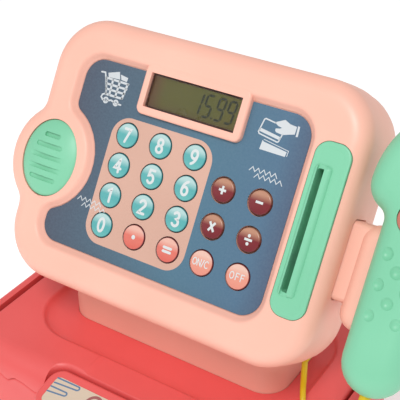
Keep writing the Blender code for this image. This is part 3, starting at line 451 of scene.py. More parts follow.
def cover_arcs():
    x, front, rear = COVER_X, COVER_FRONT_R, COVER_REAR_R
    return [(x - front, front - BASE_Y, front, -90, 0), (x - rear, COVER_BACK - rear, rear, 0, 90),
            (rear - x, COVER_BACK - rear, rear, 90, 180), (front - x, front - BASE_Y, front, 180, 270)]


KEYS = []
for row, names in enumerate((("7", "8", "9"), ("4", "5", "6"), ("1", "2", "3"),
                             ("0", "point", "equals"))):
    for column, name in enumerate(names):
        kind = "pink" if name in ("point", "equals") else "teal"
        KEYS.append((name, kind, KEY_R, -36.7 + 21.8 * column, 16.5 - 16.9 * row))
for row, names in enumerate((("plus", "minus"), ("times", "divide"), ("on_clear", "off"))):
    for column, name in enumerate(names):
        kind, radius = ("maroon", KEY_R - 0.5) if row < 2 else ("pale", KEY_R)
        KEYS.append((name, kind, radius, 28.2 + 21.8 * column, 5 - 19.6 * row))


# ---------------------------------------------------------------- printed marks

def arc_points(x, y, rx, ry, start, end, count=14):
    return [(x + rx * cos(radians(start + (end - start) * i / count)),
             y + ry * sin(radians(start + (end - start) * i / count))) for i in range(count + 1)]


def resampled(path, step=0.7):
    """The path with points no further apart than step."""
    line = [path[0]]
    for a, b in zip(path, path[1:]):
        pieces = max(1, round(hypot(b[0] - a[0], b[1] - a[1]) / step))
        line += [(a[0] + (b[0] - a[0]) * i / pieces, a[1] + (b[1] - a[1]) * i / pieces)
                 for i in range(1, pieces + 1)]
    return line


def stroke(bm, path, width, height, round_ends=True, step=0.7):
    """A ribbon along the path, on the surface that height(x, y) gives."""
    path = resampled(path, step)
    closed = hypot(path[0][0] - path[-1][0], path[0][1] - path[-1][1]) < 1e-6
    if closed:
        path = path[:-1]
    count, rails = len(path), []
    for i, (x, y) in enumerate(path):
        before = path[i - 1] if i or closed else path[0]
        after = path[(i + 1) % count] if i + 1 < count or closed else path[-1]
        a = Vector((x - before[0], y - before[1]))
        b = Vector((after[0] - x, after[1] - y))
        a, b = (a if a.length else b).normalized(), (b if b.length else a).normalized()
        along = (a + b).normalized()
        reach = min(1 / max(0.3, along.dot(a)), 1.9) * width / 2
        side = Vector((-along.y, along.x)) * reach
        rails.append([bm.verts.new((x + s * side.x, y + s * side.y,
                                    height(x + s * side.x, y + s * side.y)))
                      for s in (1, -1)])
    for i in range(count if closed else count - 1):
        (a, b), (c, d) = rails[i], rails[(i + 1) % count]
        bm.faces.new((a, b, d, c))
    if round_ends and not closed:
        for end, inner in ((0, 1), (-1, -2)):
            x, y = path[end]
            out = atan2(y - path[inner][1], x - path[inner][0])
            left, right = rails[end]
            fan = [bm.verts.new((x + width / 2 * cos(out + t), y + width / 2 * sin(out + t),
                                 height(x + width / 2 * cos(out + t), y + width / 2 * sin(out + t))))
                   for t in [radians(d) for d in (60, 30, 0, -30, -60)]]
            rim = [left, *fan, right] if end else [right, *fan, left]
            bm.faces.new(rim)


def fill(bm, points, height):
    bm.faces.new([bm.verts.new((x, y, height(x, y))) for x, y in points])


def marks(name, draw, thickness=0.05):
    """Thin raised print: draw(bm) adds its faces, which are then given a thickness."""
    bm = bmesh.new()
    draw(bm)
    bmesh.ops.recalc_face_normals(bm, faces=bm.faces)
    for face in bm.faces:
        if face.normal.z < 0:
            face.normal_flip()
    bmesh.ops.solidify(bm, geom=list(bm.faces), thickness=thickness)
    return new_mesh(bm, name)


DIGIT_STROKES = {
    "0": [arc_points(0, 0, 1.75, 3.55, 90, 450, 28)],
    "1": [[(-1.35, 2.3), (0.35, 3.6), (0.35, -3.6)]],
    "2": [arc_points(0, 1.75, 1.75, 1.8, 165, -35, 14) + [(-1.75, -3.45), (1.85, -3.45)]],
    "3": [arc_points(-0.1, 1.8, 1.6, 1.75, 150, -80, 14)
          + arc_points(-0.1, -1.75, 1.85, 1.85, 75, -150, 16)],
    "4": [[(0.75, -3.6), (0.75, 3.6), (-2.0, -1.5), (2.0, -1.5)]],
    "5": [[(1.6, 3.45), (-1.15, 3.45), (-1.5, 0.35)] + arc_points(-0.05, -1.3, 1.8, 2.2, 128, -145, 18)],
    "6": [arc_points(0, -1.4, 1.75, 2.15, 90, 450, 26), arc_points(2.1, -1.4, 3.85, 5.3, 180, 107, 12)],
    "7": [[(-1.8, 3.45), (1.8, 3.45), (-0.45, -3.6)]],
    "8": [arc_points(0, 1.85, 1.5, 1.7, -90, 270, 24), arc_points(0, -1.7, 1.8, 1.85, 90, 450, 24)],
    "9": [arc_points(0, 1.4, 1.75, 2.15, 90, 450, 26), arc_points(-2.1, 1.4, 3.85, 5.3, 0, -73, 12)],
    "minus": [[(-2.1, 0), (2.1, 0)]],
    "plus": [[(-2.1, 0), (2.1, 0)], [(0, -2.2), (0, 2.2)]],
    "times": [[(-1.6, 2.4), (1.6, -2.4)], [(-1.6, -2.4), (1.6, 2.4)]],
    "divide": [[(-2.2, 0), (2.2, 0)], [(0, 2.05), (0, 2.15)], [(0, -2.15), (0, -2.05)]],
    "equals": [[(-2.2, 1.05), (2.2, 1.05)], [(-2.2, -1.05), (2.2, -1.05)]],
    "point": [[(0, -0.05), (0, 0.05)]],
}
SMALL_LETTERS = {
    "O": lambda x: [arc_points(x, 0, 1.15, 1.75, 90, 450, 20)],
    "N": lambda x: [[(x - 0.95, -1.75), (x - 0.95, 1.75), (x + 0.95, -1.75), (x + 0.95, 1.75)]],
    "F": lambda x: [[(x - 0.8, -1.75), (x - 0.8, 1.75), (x + 0.85, 1.75)],
                    [(x - 0.8, 0.1), (x + 0.6, 0.1)]],
    "C": lambda x: [arc_points(x, 0, 1.15, 1.75, 50, 310, 16)],
    "/": lambda x: [[(x + 0.45, 1.9), (x - 0.45, -1.9)]],
}
LETTER_PLACES = {
    "on_clear": (("O", -3.75), ("N", -1.0), ("/", 1.15), ("C", 3.45)),
    "off": (("O", -3.1), ("F", 0.15), ("F", 3.1)),
}


def key_height(r, radius):
    """Height of a key's top: a low dome with a rounded edge."""
    edge = max(0.0, (r - (radius - 0.7)) / 0.7)
    return 0.95 - 0.35 * (r / radius) ** 2 - 0.6 * (1 - (1 - min(edge, 1.0) ** 2) ** 0.5)


def add_keys():
    finishes = {
        "teal": key_material("key_teal", (196, 232, 230), (98, 190, 190), (120, 205, 200),
                             (40, 122, 128)),
        "pink": key_material("key_pink", (255, 196, 178), (244, 128, 112), (240, 112, 98), (120, 40, 46)),
        "maroon": key_material("key_maroon", (206, 150, 122), (134, 36, 44), (120, 24, 38),
                               (220, 180, 154)),
        "pale": key_material("key_pale", (255, 208, 190), (252, 166, 144), (250, 158, 138),
                             (130, 48, 50)),
    }
    white = plastic("print_white", (240, 246, 246), 0.45, bump=0.03)
    for name, kind, radius, x, y in KEYS:
        place = HEAD @ Matrix.Translation(Vector((x, y, 0)) * MM)
        profile = [(0, -4.6), (8.1, -4.6), (8.1, -3.6), (radius, -3.6),
                   (radius, key_height(radius, radius))]
        for i in range(1, 9):
            r = radius - 0.7 * i / 8
            profile.append((r, key_height(r, radius)))
        for i in range(1, 8):
            r = (radius - 0.7) * (1 - i / 7)
            profile.append((r, key_height(r, radius)))
        put(f"key_cap_{name}", turned("key", profile, 48), finishes[kind], f"key_{name}",
            (f"key_{name}",), place)
        top = lambda a, b, radius=radius: key_height(hypot(a, b), radius) + 0.03
        if name in LETTER_PLACES:
            paths = [path for letter, at in LETTER_PLACES[name] for path in SMALL_LETTERS[letter](at)]
            width = 0.52
        else:
            paths, width = DIGIT_STROKES[name], 1.45
        if kind == "maroon":
            width = 1.25
        if name == "point":
            width = 2.3

        def draw(bm, paths=paths, width=width, top=top, kind=kind, name=name):
            for path in paths:
                short = hypot(path[0][0] - path[-1][0], path[0][1] - path[-1][1]) < 0.3 and len(path) == 2
                square = kind == "maroon" and not short
                wide = width * 1.35 if short and name == "divide" else width
                stroke(bm, path, wide, top, not square, step=0.7 if not short else 0.1)

        put(f"key_sign_{name}", marks("sign", draw), white, f"key_{name}", place=place,
            weighted=False)


CART_STROKES = (
    (0.9, [(-64.3, 45.7), (-61.8, 45.9), (-60.8, 43.6), (-57.8, 35.0)]),
    (0.9, [(-57.8, 35.0), (-59.8, 33.9), (-60.2, 32.5), (-58.9, 31.3), (-56.6, 31.1)]),
    (0.9, [(-56.6, 31.1), (-53.2, 32.1), (-49.9, 31.2), (-46.4, 31.1)]),
    (1.2, [(-59.9, 43.3), (-45.2, 43.0)]), (1.2, [(-59.3, 40.3), (-45.5, 40.1)]),
    (1.2, [(-58.6, 37.5), (-46.1, 37.4)]), (1.2, [(-57.7, 34.6), (-46.7, 34.6)]),
    (1.2, [(-60.2, 43.3), (-57.6, 34.6)]),
    (1.3, [(-55.6, 43.2), (-55.4, 34.6)]), (1.3, [(-51.0, 43.2), (-51.3, 34.6)]),
    (1.3, [(-45.6, 43.0), (-46.8, 34.6)]),
)
CART_FILLS = (
    [(-59.9, 46.1), (-52.7, 48.3), (-51.2, 44.3), (-58.9, 43.9)],
    [(-51.6, 47.0), (-46.4, 46.3), (-46.7, 44.0), (-50.4, 44.3)],
)
CART_WHEELS = ((-56.7, 31.4), (-49.9, 31.4))
CARD_STROKES = (
    (0.7, [(45.7, 45.4), (39.9, 46.2), (39.2, 45.7), (37.8, 39.0), (38.4, 38.1), (49.4, 36.4),
           (50.0, 36.8), (50.9, 40.5)]),
    (0.35, [(42.1, 35.9), (56.8, 33.7), (56.6, 31.0)]),
)
CARD_FILLS = (
    [(38.1, 41.1), (50.8, 39.2), (50.4, 37.6), (37.9, 39.4)],
    [(45.0, 45.6), (47.3, 46.7), (50.3, 48.2), (53.5, 46.8), (57.4, 46.4), (57.4, 42.5), (54.5, 41.7),
     (51.2, 40.6), (47.3, 41.0), (46.5, 41.7), (46.5, 42.8), (48.8, 43.3), (49.7, 43.9), (47.6, 44.3)],
    [(57.9, 47.0), (59.0, 46.8), (59.3, 41.7), (58.2, 41.5)],
    [(41.4, 35.4), (42.3, 34.8), (56.0, 33.0), (55.7, 30.5), (41.0, 30.6)],
)


def zigzag(x, y, count, pitch=1.6, rise=2.2):
    return [(x + pitch * i, y + (rise if i % 2 else 0)) for i in range(count)]


def add_print():
    """The film's printed field, icons and zigzag lines."""
    flat = lambda x, y: 0.25
    tan = plastic("print_tan", (238, 190, 170), 0.5, bump=0.2, grain=1100)
    white = plastic("icon_white", (232, 238, 242), 0.5, bump=0.05)
    field = box_arcs(-47.2, 17.6, -45, 26, 11)
    film_field = carve(stack("field", field, ((0, 0.1), (0, 0.235))), [key_holes()])
    put("print_keypad_field", film_field, tan, "register", place=HEAD, weighted=False)

    def draw(bm):
        for width, path in CART_STROKES + CARD_STROKES:
            stroke(bm, path, width, flat, step=4)
        for points in CART_FILLS + CARD_FILLS:
            fill(bm, points, flat)
        for x, y in CART_WHEELS:
            stroke(bm, arc_points(x, y, 1.35, 1.35, 0, 360, 20), 1.0, flat, step=4)
        for x, y in ((39.0, 19.0), (-56.6, -25.3)):
            stroke(bm, zigzag(x, y, 11), 0.42, flat, step=4)
            stroke(bm, zigzag(x + 3.7, y - 2.8, 11), 0.42, flat, step=4)

    put("print_icons", marks("icons", draw, 0.04), white, "register", place=HEAD,
        weighted=False)


SEGMENTS = {"1": "bc", "5": "acdfg", "9": "abcdfg"}


def add_lcd_digits():
    dark = plastic("lcd_digits", (44, 50, 34), 0.4, bump=0.0)
    flat = lambda x, y: 1.36
    half_w, half_h, gap, thick = 2.0, 5.8, 0.15, 1.3

    def draw(bm):
        for x, digit in ((0.2, "1"), (6.6, "5"), (13.9, "9"), (20.3, "9")):
            lines = {
                "a": ((-half_w, half_h), (half_w, half_h)), "g": ((-half_w, 0), (half_w, 0)),
                "d": ((-half_w, -half_h), (half_w, -half_h)), "f": ((-half_w, 0), (-half_w, half_h)),
                "e": ((-half_w, -half_h), (-half_w, 0)), "b": ((half_w, 0), (half_w, half_h)),
                "c": ((half_w, -half_h), (half_w, 0)),
            }
            for letter in SEGMENTS[digit]:
                a, b = (Vector(p) for p in lines[letter])
                along = (b - a).normalized()
                side = Vector((-along.y, along.x)) * thick / 2
                a, b = a + along * gap, b - along * gap
                points = [a, a + along * thick / 2 + side, b - along * thick / 2 + side, b,
                          b - along * thick / 2 - side, a + along * thick / 2 - side]
                fill(bm, [(x + p.x + 0.1 * p.y, 43.8 + p.y) for p in points], flat)
        dot = ((-0.5, -0.5), (0.5, -0.5), (0.5, 0.5), (-0.5, 0.5))
        fill(bm, [(10.1 + a, 38.3 + b) for a, b in dot], flat)

    put("lcd_digits", marks("digits", draw, 0.03), dark, "register", place=HEAD,
        weighted=False)


# ---------------------------------------------------------------- head

def key_holes(low=-9, high=3):
    """One mesh of cylinders, one for each key."""
    bm = bmesh.new()
    for _, _, _, x, y in KEYS:
        place = Matrix.Translation((x, y, (low + high) / 2))
        bmesh.ops.create_cone(bm, cap_ends=True, segments=48, radius1=KEY_HOLE_R, radius2=KEY_HOLE_R,
                              depth=high - low, matrix=place)
    return new_mesh(bm, "key_holes")


def lcd_arcs(grow=0.0, r=4.0, top=58.0):
    x, y, f = LCD_X, LCD_Y, LCD_FRAME + grow
    return box_arcs(x - LCD_HALF_X - f, x + LCD_HALF_X + f, y - LCD_HALF_Y - f, top, r)


def card_arcs(grow=0.0):
    return box_arcs(CARD_X - CARD_HALF_X - grow, CARD_X + CARD_HALF_X + grow, -CARD_HALF_Y - grow,
                    CARD_HALF_Y + grow, CARD_R + grow)


def add_head(peach):
    arcs, panel = head_arcs(), panel_arcs()
    steps = 10 if FINE else 6
    rings = [level(outline(arcs, 0), PARTING), level(outline(arcs, 0.05), PARTING + 6),
             level(outline(arcs, 0.5), -6.6)]
    for i in range(steps + 1):
        angle = i * pi / 2 / steps
        rings.append(level(outline(arcs, 0.5 + 10 * (1 - cos(angle))), -6 + 10 * sin(angle)))
    inner = ((-4.9, 4), (-4.2, 3.96), (-3.5, 3.78), (-2.9, 3.4), (-2.2, 2.6), (-1.3, 1.3), (-0.7, 0.5),
             (-0.2, 0.1), (0, -0.5), (3, -0.5))
    rings += [level(outline(panel, inset), z) for inset, z in inner]
    inside = [level(outline(arcs, 2.6), PARTING - 1), level(outline(arcs, 2.6), -9),
              level(outline(arcs, 5), -3.2)]
    x, y = LCD_X, LCD_Y
    window = cuboid("window", (x - LCD_HALF_X, y - LCD_HALF_Y, -10), (x + LCD_HALF_X, y + LCD_HALF_Y, 10))
    hole_x, hole_y = GRILLE_RX + 0.25, GRILLE_RY + 0.25
    grille = turned("grille_hole", [(0, -10), (hole_x, -10), (hole_x, 12), (0, 12)], 64,
                    hole_y / hole_x, (GRILLE_X, GRILLE_Y))
    arm = stack("arm_window", box_arcs(85, 125, -30.5, 11.5, 5),
                ((0, PARTING - 1), (0, -12), (1.2, -10), (3.2, -9)))
    turns = [radians(d) for d in (20, 40, 60, 75, 90)]
    frame_steps = [(0, -1.5), (0, 2.2)] + [(1.6 * (1 - cos(t)), 2.2 + 1.7 * sin(t)) for t in turns]
    shell = carve(loft("shell", rings), [loft("inside", inside)])
    card = stack("card", card_arcs(0.2), ((0, -10), (0, 12)))
    shell = carve(shell, [window, key_holes(), grille, card, arm],
                  [stack("lcd_frame", lcd_arcs(), frame_steps)], bevel=0.35)
    put("head_front", shell, peach, "register", ("head_front_shell",), HEAD, sharp=50)

    back = [(14, HEAD_BACK), (11, HEAD_BACK + 0.3), (8, HEAD_BACK + 1.3), (5.2, HEAD_BACK + 3.2),
            (3, HEAD_BACK + 6), (1.6, HEAD_BACK + 9.5), (0.8, HEAD_BACK + 13.5), (0.6, PARTING - 1.2),
            (0.9, PARTING - GAP)]
    inside = [level(outline(arcs, 15), HEAD_BACK + 3), level(outline(arcs, 6), HEAD_BACK + 8),
              level(outline(arcs, 3.4), PARTING + 1)]
    door = stack("door", box_arcs(-34.3, 34.3, -4.3, 34.3, 4.3), ((0, HEAD_BACK - 2), (0, HEAD_BACK + 5)))
    arm = stack("arm_relief", box_arcs(85, 125, -30.5, 11.5, 3), ((0, -23.5), (0, PARTING + 5)))
    gland = turned("gland", [(0, -9), (3.2, -9), (3.2, 8), (0, 8)], 24)
    cuts = [loft("inside", inside), door, (gland, HEAD.inverted() @ Matrix.Translation(GLAND * MM)), arm]
    for sx, sy in HEAD_SCREWS:
        cuts.append(turned("sink", [(0, HEAD_BACK - 2), (3.3, HEAD_BACK - 2), (3.3, HEAD_BACK + 2),
                                    (0, HEAD_BACK + 2)],
                           32, place=(sx, sy)))
    cover = carve(stack("back", arcs, back), cuts, bevel=0.3)
    put("head_back", cover, peach, "register", ("head_back_cover",), HEAD, sharp=50)
    ribs = [stack("rib", box_arcs(-12, 12, 26.4 - 3 * i, 27.6 - 3 * i, 0.6),
                  ((0, HEAD_BACK + 0.6), (0, HEAD_BACK - 2)))
            for i in range(3)]
    lid = stack("lid", box_arcs(-34, 34, -4, 34, 4),
                ((0.4, HEAD_BACK + 0.2), (0, HEAD_BACK + 0.6), (0, HEAD_BACK + 2.6)))
    put("battery_lid", carve(lid, ribs, bevel=0.15), peach, "register",
        ("battery_door",), HEAD)


HEAD_SCREWS = ((-60, 48), (60, 48), (-60, 4), (60, 4))


def add_film():
    film = stack("film", panel_arcs(), ((GAP, -0.2), (GAP, 0.2)))
    block = stack("film_display", lcd_arcs(0.1, 4.1, 70), ((0, -3), (0, 5)))
    film = carve(film, [block, key_holes(-3, 3)])
    put("panel_film", film, panel_material(), "register", ("control_overlay",), HEAD,
        weighted=False)


def add_display():
    x, y, half_x, half_y = LCD_X, LCD_Y, LCD_HALF_X - GAP, LCD_HALF_Y - GAP
    face = carve(cuboid("lcd", (x - half_x, y - half_y, -7), (x + half_x, y + half_y, 1.3)), bevel=0.1)
    put("lcd_face", face, lcd_material(), "register", ("lcd_module",), HEAD)
    add_lcd_digits()
    # Painted shadow: a dark brown ring laid round the LCD's edge, just above its face, standing in for the
    # shade at the frame's inner edge.
    shadow_brown = plastic("lcd_edge_shadow", (74, 34, 22), 0.5, bump=0.0)
    rings = []
    for inset, z in ((0.02, 1.35), (0.02, 1.78), (0.75, 1.78), (0.75, 1.35)):
        rings.append(level(outline(box_arcs(x - half_x, x + half_x, y - half_y, y + half_y, 1), inset),
                           z))
    put("lcd_edge_shadow", loft("ring", rings, closed=True), shadow_brown, "register", place=HEAD)
    nodes = Nodes("lcd_pane")
    pane = nodes.finish((236, 240, 228), 0.15, spread=0.02, bump=0.0, Transmission_Weight=1.0, Alpha=0.12)
    glass = carve(cuboid("pane", (x - half_x, y - half_y, 1.8), (x + half_x, y + half_y, 2.6)),
                  bevel=0.15)
    put("lcd_pane", glass, pane, "register", ("lcd_window",), HEAD)


def add_grille(mint):
    rx, dome = GRILLE_RX, GRILLE_DOME
    ball = (rx ** 2 + dome ** 2) / (2 * dome)
    profile = [(0, -1), (rx, -1), (rx, 3.0)]
    for i in range(13):
        r = rx * (1 - i / 12)
        z = 3.4 + (ball ** 2 - r ** 2) ** 0.5 - (ball - dome)
        profile.append((r if i else rx - 0.25, z))
    bars = []
    for y, half, floor in ((12.6, 5.5, 4.6), (6.6, 9, 5.9), (0.4, 12.5, 6.3), (-6, 12, 5.9),
                           (-12, 9, 4.9)):
        bar = box_arcs(GRILLE_X - half, GRILLE_X + half, GRILLE_Y + y - 1.3, GRILLE_Y + y + 1.3, 1.25)
        bars.append(stack("bar", bar, ((0, floor), (0, 12)), 8))
    mesh = carve(turned("grille", profile, 96, GRILLE_RY / rx, (GRILLE_X, GRILLE_Y)), bars, bevel=0.4)
    put("grille", mesh, mint, "register", ("speaker_grille",), HEAD, sharp=60)


def add_card_slot(mint):
    arcs = card_arcs()
    body = stack("trim", arcs, ((0, -8), (0, 3.9), (0.12, 4.25), (0.4, 4.5), (0.9, 4.6), (2.2, 4.62),
                                (3.0, 4.45), (3.4, 4.4)))
    rail = box_arcs(SLOT_X - 3.9, SLOT_X + 5.6, SLOT_Y - SLOT_HALF_Y - 2, SLOT_Y + SLOT_HALF_Y + 2, 2.2)
    rails = stack("rails", rail, ((0, 2), (0, 4.4), (0.2, 4.9), (0.6, 5.4), (1.2, 5.9), (1.9, 6.15),
                                  (2.1, 6.2)))
    slot = box_arcs(SLOT_X - SLOT_HALF_X, SLOT_X + SLOT_HALF_X, SLOT_Y - SLOT_HALF_Y - 4,
                    SLOT_Y + SLOT_HALF_Y + 4, 1.2)
    short = box_arcs(SLOT_X - SLOT_HALF_X, SLOT_X + SLOT_HALF_X, SLOT_Y - SLOT_HALF_Y,
                     SLOT_Y + SLOT_HALF_Y, 1.2)
    mesh = carve(body, [stack("slot", short, ((0, -6), (0, 12))),
                        stack("notch", slot, ((0, 4.7), (0, 12)))], [rails],
                 bevel=0.45)
    put("card_trim", mesh, mint, "register", ("card_slot_trim",), HEAD, sharp=60)
    dark = plastic("sensor_dark", (20, 40, 28), 0.3, bump=0.0)
    put("card_sensor", cuboid("sensor", (SLOT_X + SLOT_HALF_X - 0.25, -21, -3),
                              (SLOT_X + SLOT_HALF_X + 0.3, -12, 3.6)),
        dark, "register", place=HEAD)


# ---------------------------------------------------------------- neck, base and drawer

def add_neck(peach):
    rings = []
    for top, z in ((NECK["top"], 53), (NECK["top"], 84), (NECK["top"] - 16, 128)):
        rings.append(level(outline(box_arcs(NECK["left"], NECK["right"], NECK["bottom"], top,
                                            NECK["r"])), z))
    arcs = head_arcs()
    steps = ((14, HEAD_BACK - GAP), (8, HEAD_BACK + 1), (3, HEAD_BACK + 5.8), (0.8, HEAD_BACK + 12.8),
             (0, PARTING), (0, 10))
    hull = loft("hull", [level(outline(arcs, inset - GAP), z) for inset, z in steps])
    put("neck", carve(loft("neck", rings), [(hull, HEAD)], bevel=0.3), peach, "register",
        ("neck_block",))


WAVE = ((44, -16.2), (53, -16.2), (58, -14.6), (62, -13.6), (66, -13.2), (69, -14.4), (71.4, -16.6),
        (73, -17),
        (74.8, -16.2), (78, -14.4), (84, -13.8), (90, -14))


def wave(x):
    """Height of the wavy seam between cover and drawer front, below the base's top."""
    total = 0
    for near in (-1, -0.5, 0, 0.5, 1):
        place = min(max(abs(x) + near, WAVE[0][0]), WAVE[-1][0])
        for (a, low), (b, high) in zip(WAVE, WAVE[1:]):
            if place <= b:
                total += low + (high - low) * (place - a) / (b - a)
                break
    return total / 5


def add_base(coral):
    top, arcs = BASE_TOP, base_arcs()
    tub = stack("tub", arcs, [(2, 0), (0.9, 0.5), (0.4, 1.5), (0, 4), (0, top - 5)]
                + quarter(4, 8, top)[1:])
    mouth = FRONT_X + 0.7
    cuts = [stack("in", arcs, ((3, 3), (3, top - 11))),
            stack("lip", arcs, ((6.75, top - 14), (6.75, 80))),
            cuboid("mouth", (-mouth, -90, 3), (mouth, -50, 80))]
    put("tub", carve(tub, cuts, bevel=0.6), coral, "register", ("base_tub",), sharp=50)

    arcs, low = cover_arcs(), top - 18
    cover = stack("cover", arcs, [(0, low), (0, top - 3)] + quarter(2.6, 7, top))
    roll = [(-95, 30), (-95, 90), (ROLL_Y, 90)]
    roll += [(ROLL_Y - ROLL_R * sin(t), top - ROLL_R + ROLL_R * cos(t))
             for t in [radians(d) for d in range(0, 91, 5)]]
    roll += [(ROLL_Y - ROLL_R, 30)]
    cuts = [loft("roll", [[(x, y, z) for y, z in roll] for x in (-120, 120)])]
    hole = box_arcs(TROUGH["left"], TROUGH["right"], TROUGH["bottom"], TROUGH["top"], TROUGH["r"])
    bowl = [(10, top - 4.5), (7.6, top - 4.4), (5.4, top - 4.05), (3.6, top - 3.4), (2.4, top - 2.5),
            (1.6, top - 1.6),
            (1.1, top - 0.9), (0.6, top - 0.35), (-0.1, top - 0.05), (-0.8, top + 0.05), (-1.1, top + 4)]
    cuts.append(stack("bowl", hole, bowl))
    gap = 0.25
    cuts.append(stack("neck_hole", box_arcs(NECK["left"] - gap, NECK["right"] + gap, NECK["bottom"] - gap,
                                            NECK["top"] + gap, NECK["r"] + gap), ((0, 50), (0, 90))))
    recess = box_arcs(-TAB_X - 1.7, TAB_X + 1.7, -120, TAB_BACK + 1.7, 10)
    cuts.append(stack("recess", recess, ((0, 40), (0, top - 3.5), (-0.5, top - 1.4), (-1.8, top - 0.3),
                                         (-3.2, top + 0.2), (-4, top + 3))))
    dip = [(d, z) for d, z in ((0, -1.0), (-1.2, -0.92), (-2.4, -0.6), (-3.6, -0.25), (-4.8, -0.05),
                               (-6, 0.2))]
    cuts.append(stack("dip", box_arcs(-23, 31, -95, -30, 1.5), [(d, top + z) for d, z in dip]))
    span = [i * 1.5 for i in range(-76, 77)]
    cuts.append(loft("seam", [[(x, -100, 20), (x, -55, 20), (x, -55, top + wave(x)),
                               (x, -100, top + wave(x))] for x in span]))
    cover = carve(cover, cuts, bevel=0.5, segments=3, angle=38)
    put("top_cover", cover, coral, "register", ("base_top_cover",), sharp=50)


def front_section(x):
    half, corner = FRONT_X, 6
    edge = min(1.0, max(0.0, abs(x) - (half - corner)) / corner)
    tuck = corner * (1 - (1 - edge ** 2) ** 0.5)
    top = BASE_TOP + wave(x) - 0.5
    face, back = ROLL_Y - ROLL_R + tuck, -56
    points = [(back, 3.6), (face + 2, 3.6), (face + 0.5, 4.3), (face, 6), (face, top - 1.6),
              (face + 0.35, top - 0.7),
              (face + 1, top - 0.2), (face + 1.8, top), (back, top)]
    return [(x, y, z) for y, z in points]


def tab_point(x, along, up=0.0):
    return (x, TAB_BACK - along * cos(TAB_SLOPE) - max(0, up) * sin(TAB_SLOPE),
            BASE_TOP - 1 - along * sin(TAB_SLOPE) + up * cos(TAB_SLOPE))


def add_drawer(coral):
    xs = [FRONT_X - d for d in (0, 0.4, 1, 1.8, 3, 4.4, 6)]
    xs = [-x for x in xs] + [i * 1.5 for i in range(-64, 65)] + list(reversed(xs))
    front = loft("front", [front_section(x) for x in xs])
    hollow = cuboid("hollow", (-97, -68, 7), (97, -50, 46))
    arcs = box_arcs(-TAB_X, TAB_X, 0, TAB_LENGTH, 9)
    tab = [(1.5, -13), (0.4, -12.2), (0, -11)] + [(inset, z) for inset, z in quarter(2.2, 7, 0)]
    tab = loft("tab", [[tab_point(x, y, up) for x, y in outline(arcs, inset)] for inset, up in tab])
    pad = box_arcs(-TAB_X + 5, TAB_X - 5, 5.5, TAB_LENGTH - 3.5, 3.5)
    pad = loft("pad", [[tab_point(x, y, up) for x, y in outline(pad)] for up in (-0.25, 3)])
    root = cuboid("root", (-40, -70.5, 46.5), (40, -60, 58))
    mesh = carve(carve(front, [hollow], [root]), [pad], [tab], bevel=0.3, angle=50)
    put("drawer_face", mesh, coral, "drawer", ("drawer_front",), sharp=50)
    cream = plastic("label_cream", (240, 222, 198), 0.55, bump=0.08)
    label = box_arcs(-TAB_X + 5.3, TAB_X - 5.3, 5.8, TAB_LENGTH - 3.8, 3.2)
    mesh = loft("label", [[tab_point(x, y, up) for x, y in outline(label)] for up in (-0.23, 0.05)])
    put("label", mesh, cream, "drawer", ("drawer_label",))


def add_label_print():
    """Abstract squiggles and a ring on the label."""
    blue = plastic("label_blue", (112, 146, 182), 0.55, bump=0.05)
    rose = plastic("label_rose", (182, 112, 112), 0.55, bump=0.05)
    place = Matrix.Translation(Vector(tab_point(0, 0)) * MM) @ Matrix.Rotation(TAB_SLOPE, 4, "X")
    flat = lambda x, y: 0.08

    def squiggles(bm):
        for left, right, first, second in ((-37.6, -22, -6.9, -10.2), (-37.9, -26.3, -13, -16.4)):
            turn = arc_points(right - 1.3, (first + second) / 2 + 0.8, 1.3, 1.2, 80, -80, 8)
            stroke(bm, [(left, first)] + turn + [(left, second)], 0.95, flat, step=3)

    def ring(bm):
        for x in (-9, 8, 25):
            stroke(bm, arc_points(x, -12.5, 4.6, 5.0, 0, 360, 36), 1.8, flat, step=3)

    put("label_squiggles", marks("squiggles", squiggles, 0.04), blue, "drawer",
        place=place, weighted=False)
    put("label_rings", marks("rings", ring, 0.04), rose, "drawer", place=place,
        weighted=False)


# ---------------------------------------------------------------- scanner, cradle and cord

def thickness_at(y):
    t = min(1.0, max(0.0, (y - 5) / 25))
    return 1 + 0.2 * t * t * (3 - 2 * t)


def handset_rings(side, count, grow=0.0, lift=0.0):
    rings = []
    for i in range(count + 1):
        angle = i * pi / 2 / count
        inset, height = 12 * (1 - cos(angle)) - grow, (HAND_HALF_T + grow) * sin(angle)
        rings.append([(x, y, HAND_PARTING + side * (lift + height * thickness_at(y)))
                      for x, y in outline(handset_arcs(), inset)])
    return rings


DIMPLES = [(x, y) for x, ys in ((-7.2, (2.1, -12.8, -27.8)), (0, (-5, -19.9, -35.4)),
                                (7.2, (2.1, -12.8, -27.8)))
           for y in ys]


def in_strips(mesh):
    """The mesh with its large faces cut across where the grip's thickness changes, so that each stays
    flat."""
    bm = bmesh.new()
    bm.from_mesh(mesh)
    for y in range(4, 33, 2):
        bmesh.ops.bisect_plane(bm, geom=bm.verts[:] + bm.edges[:] + bm.faces[:], plane_co=(0, y * MM, 0),
                               plane_no=(0, 1, 0))
    bm.to_mesh(mesh)
    bm.free()
    return mesh


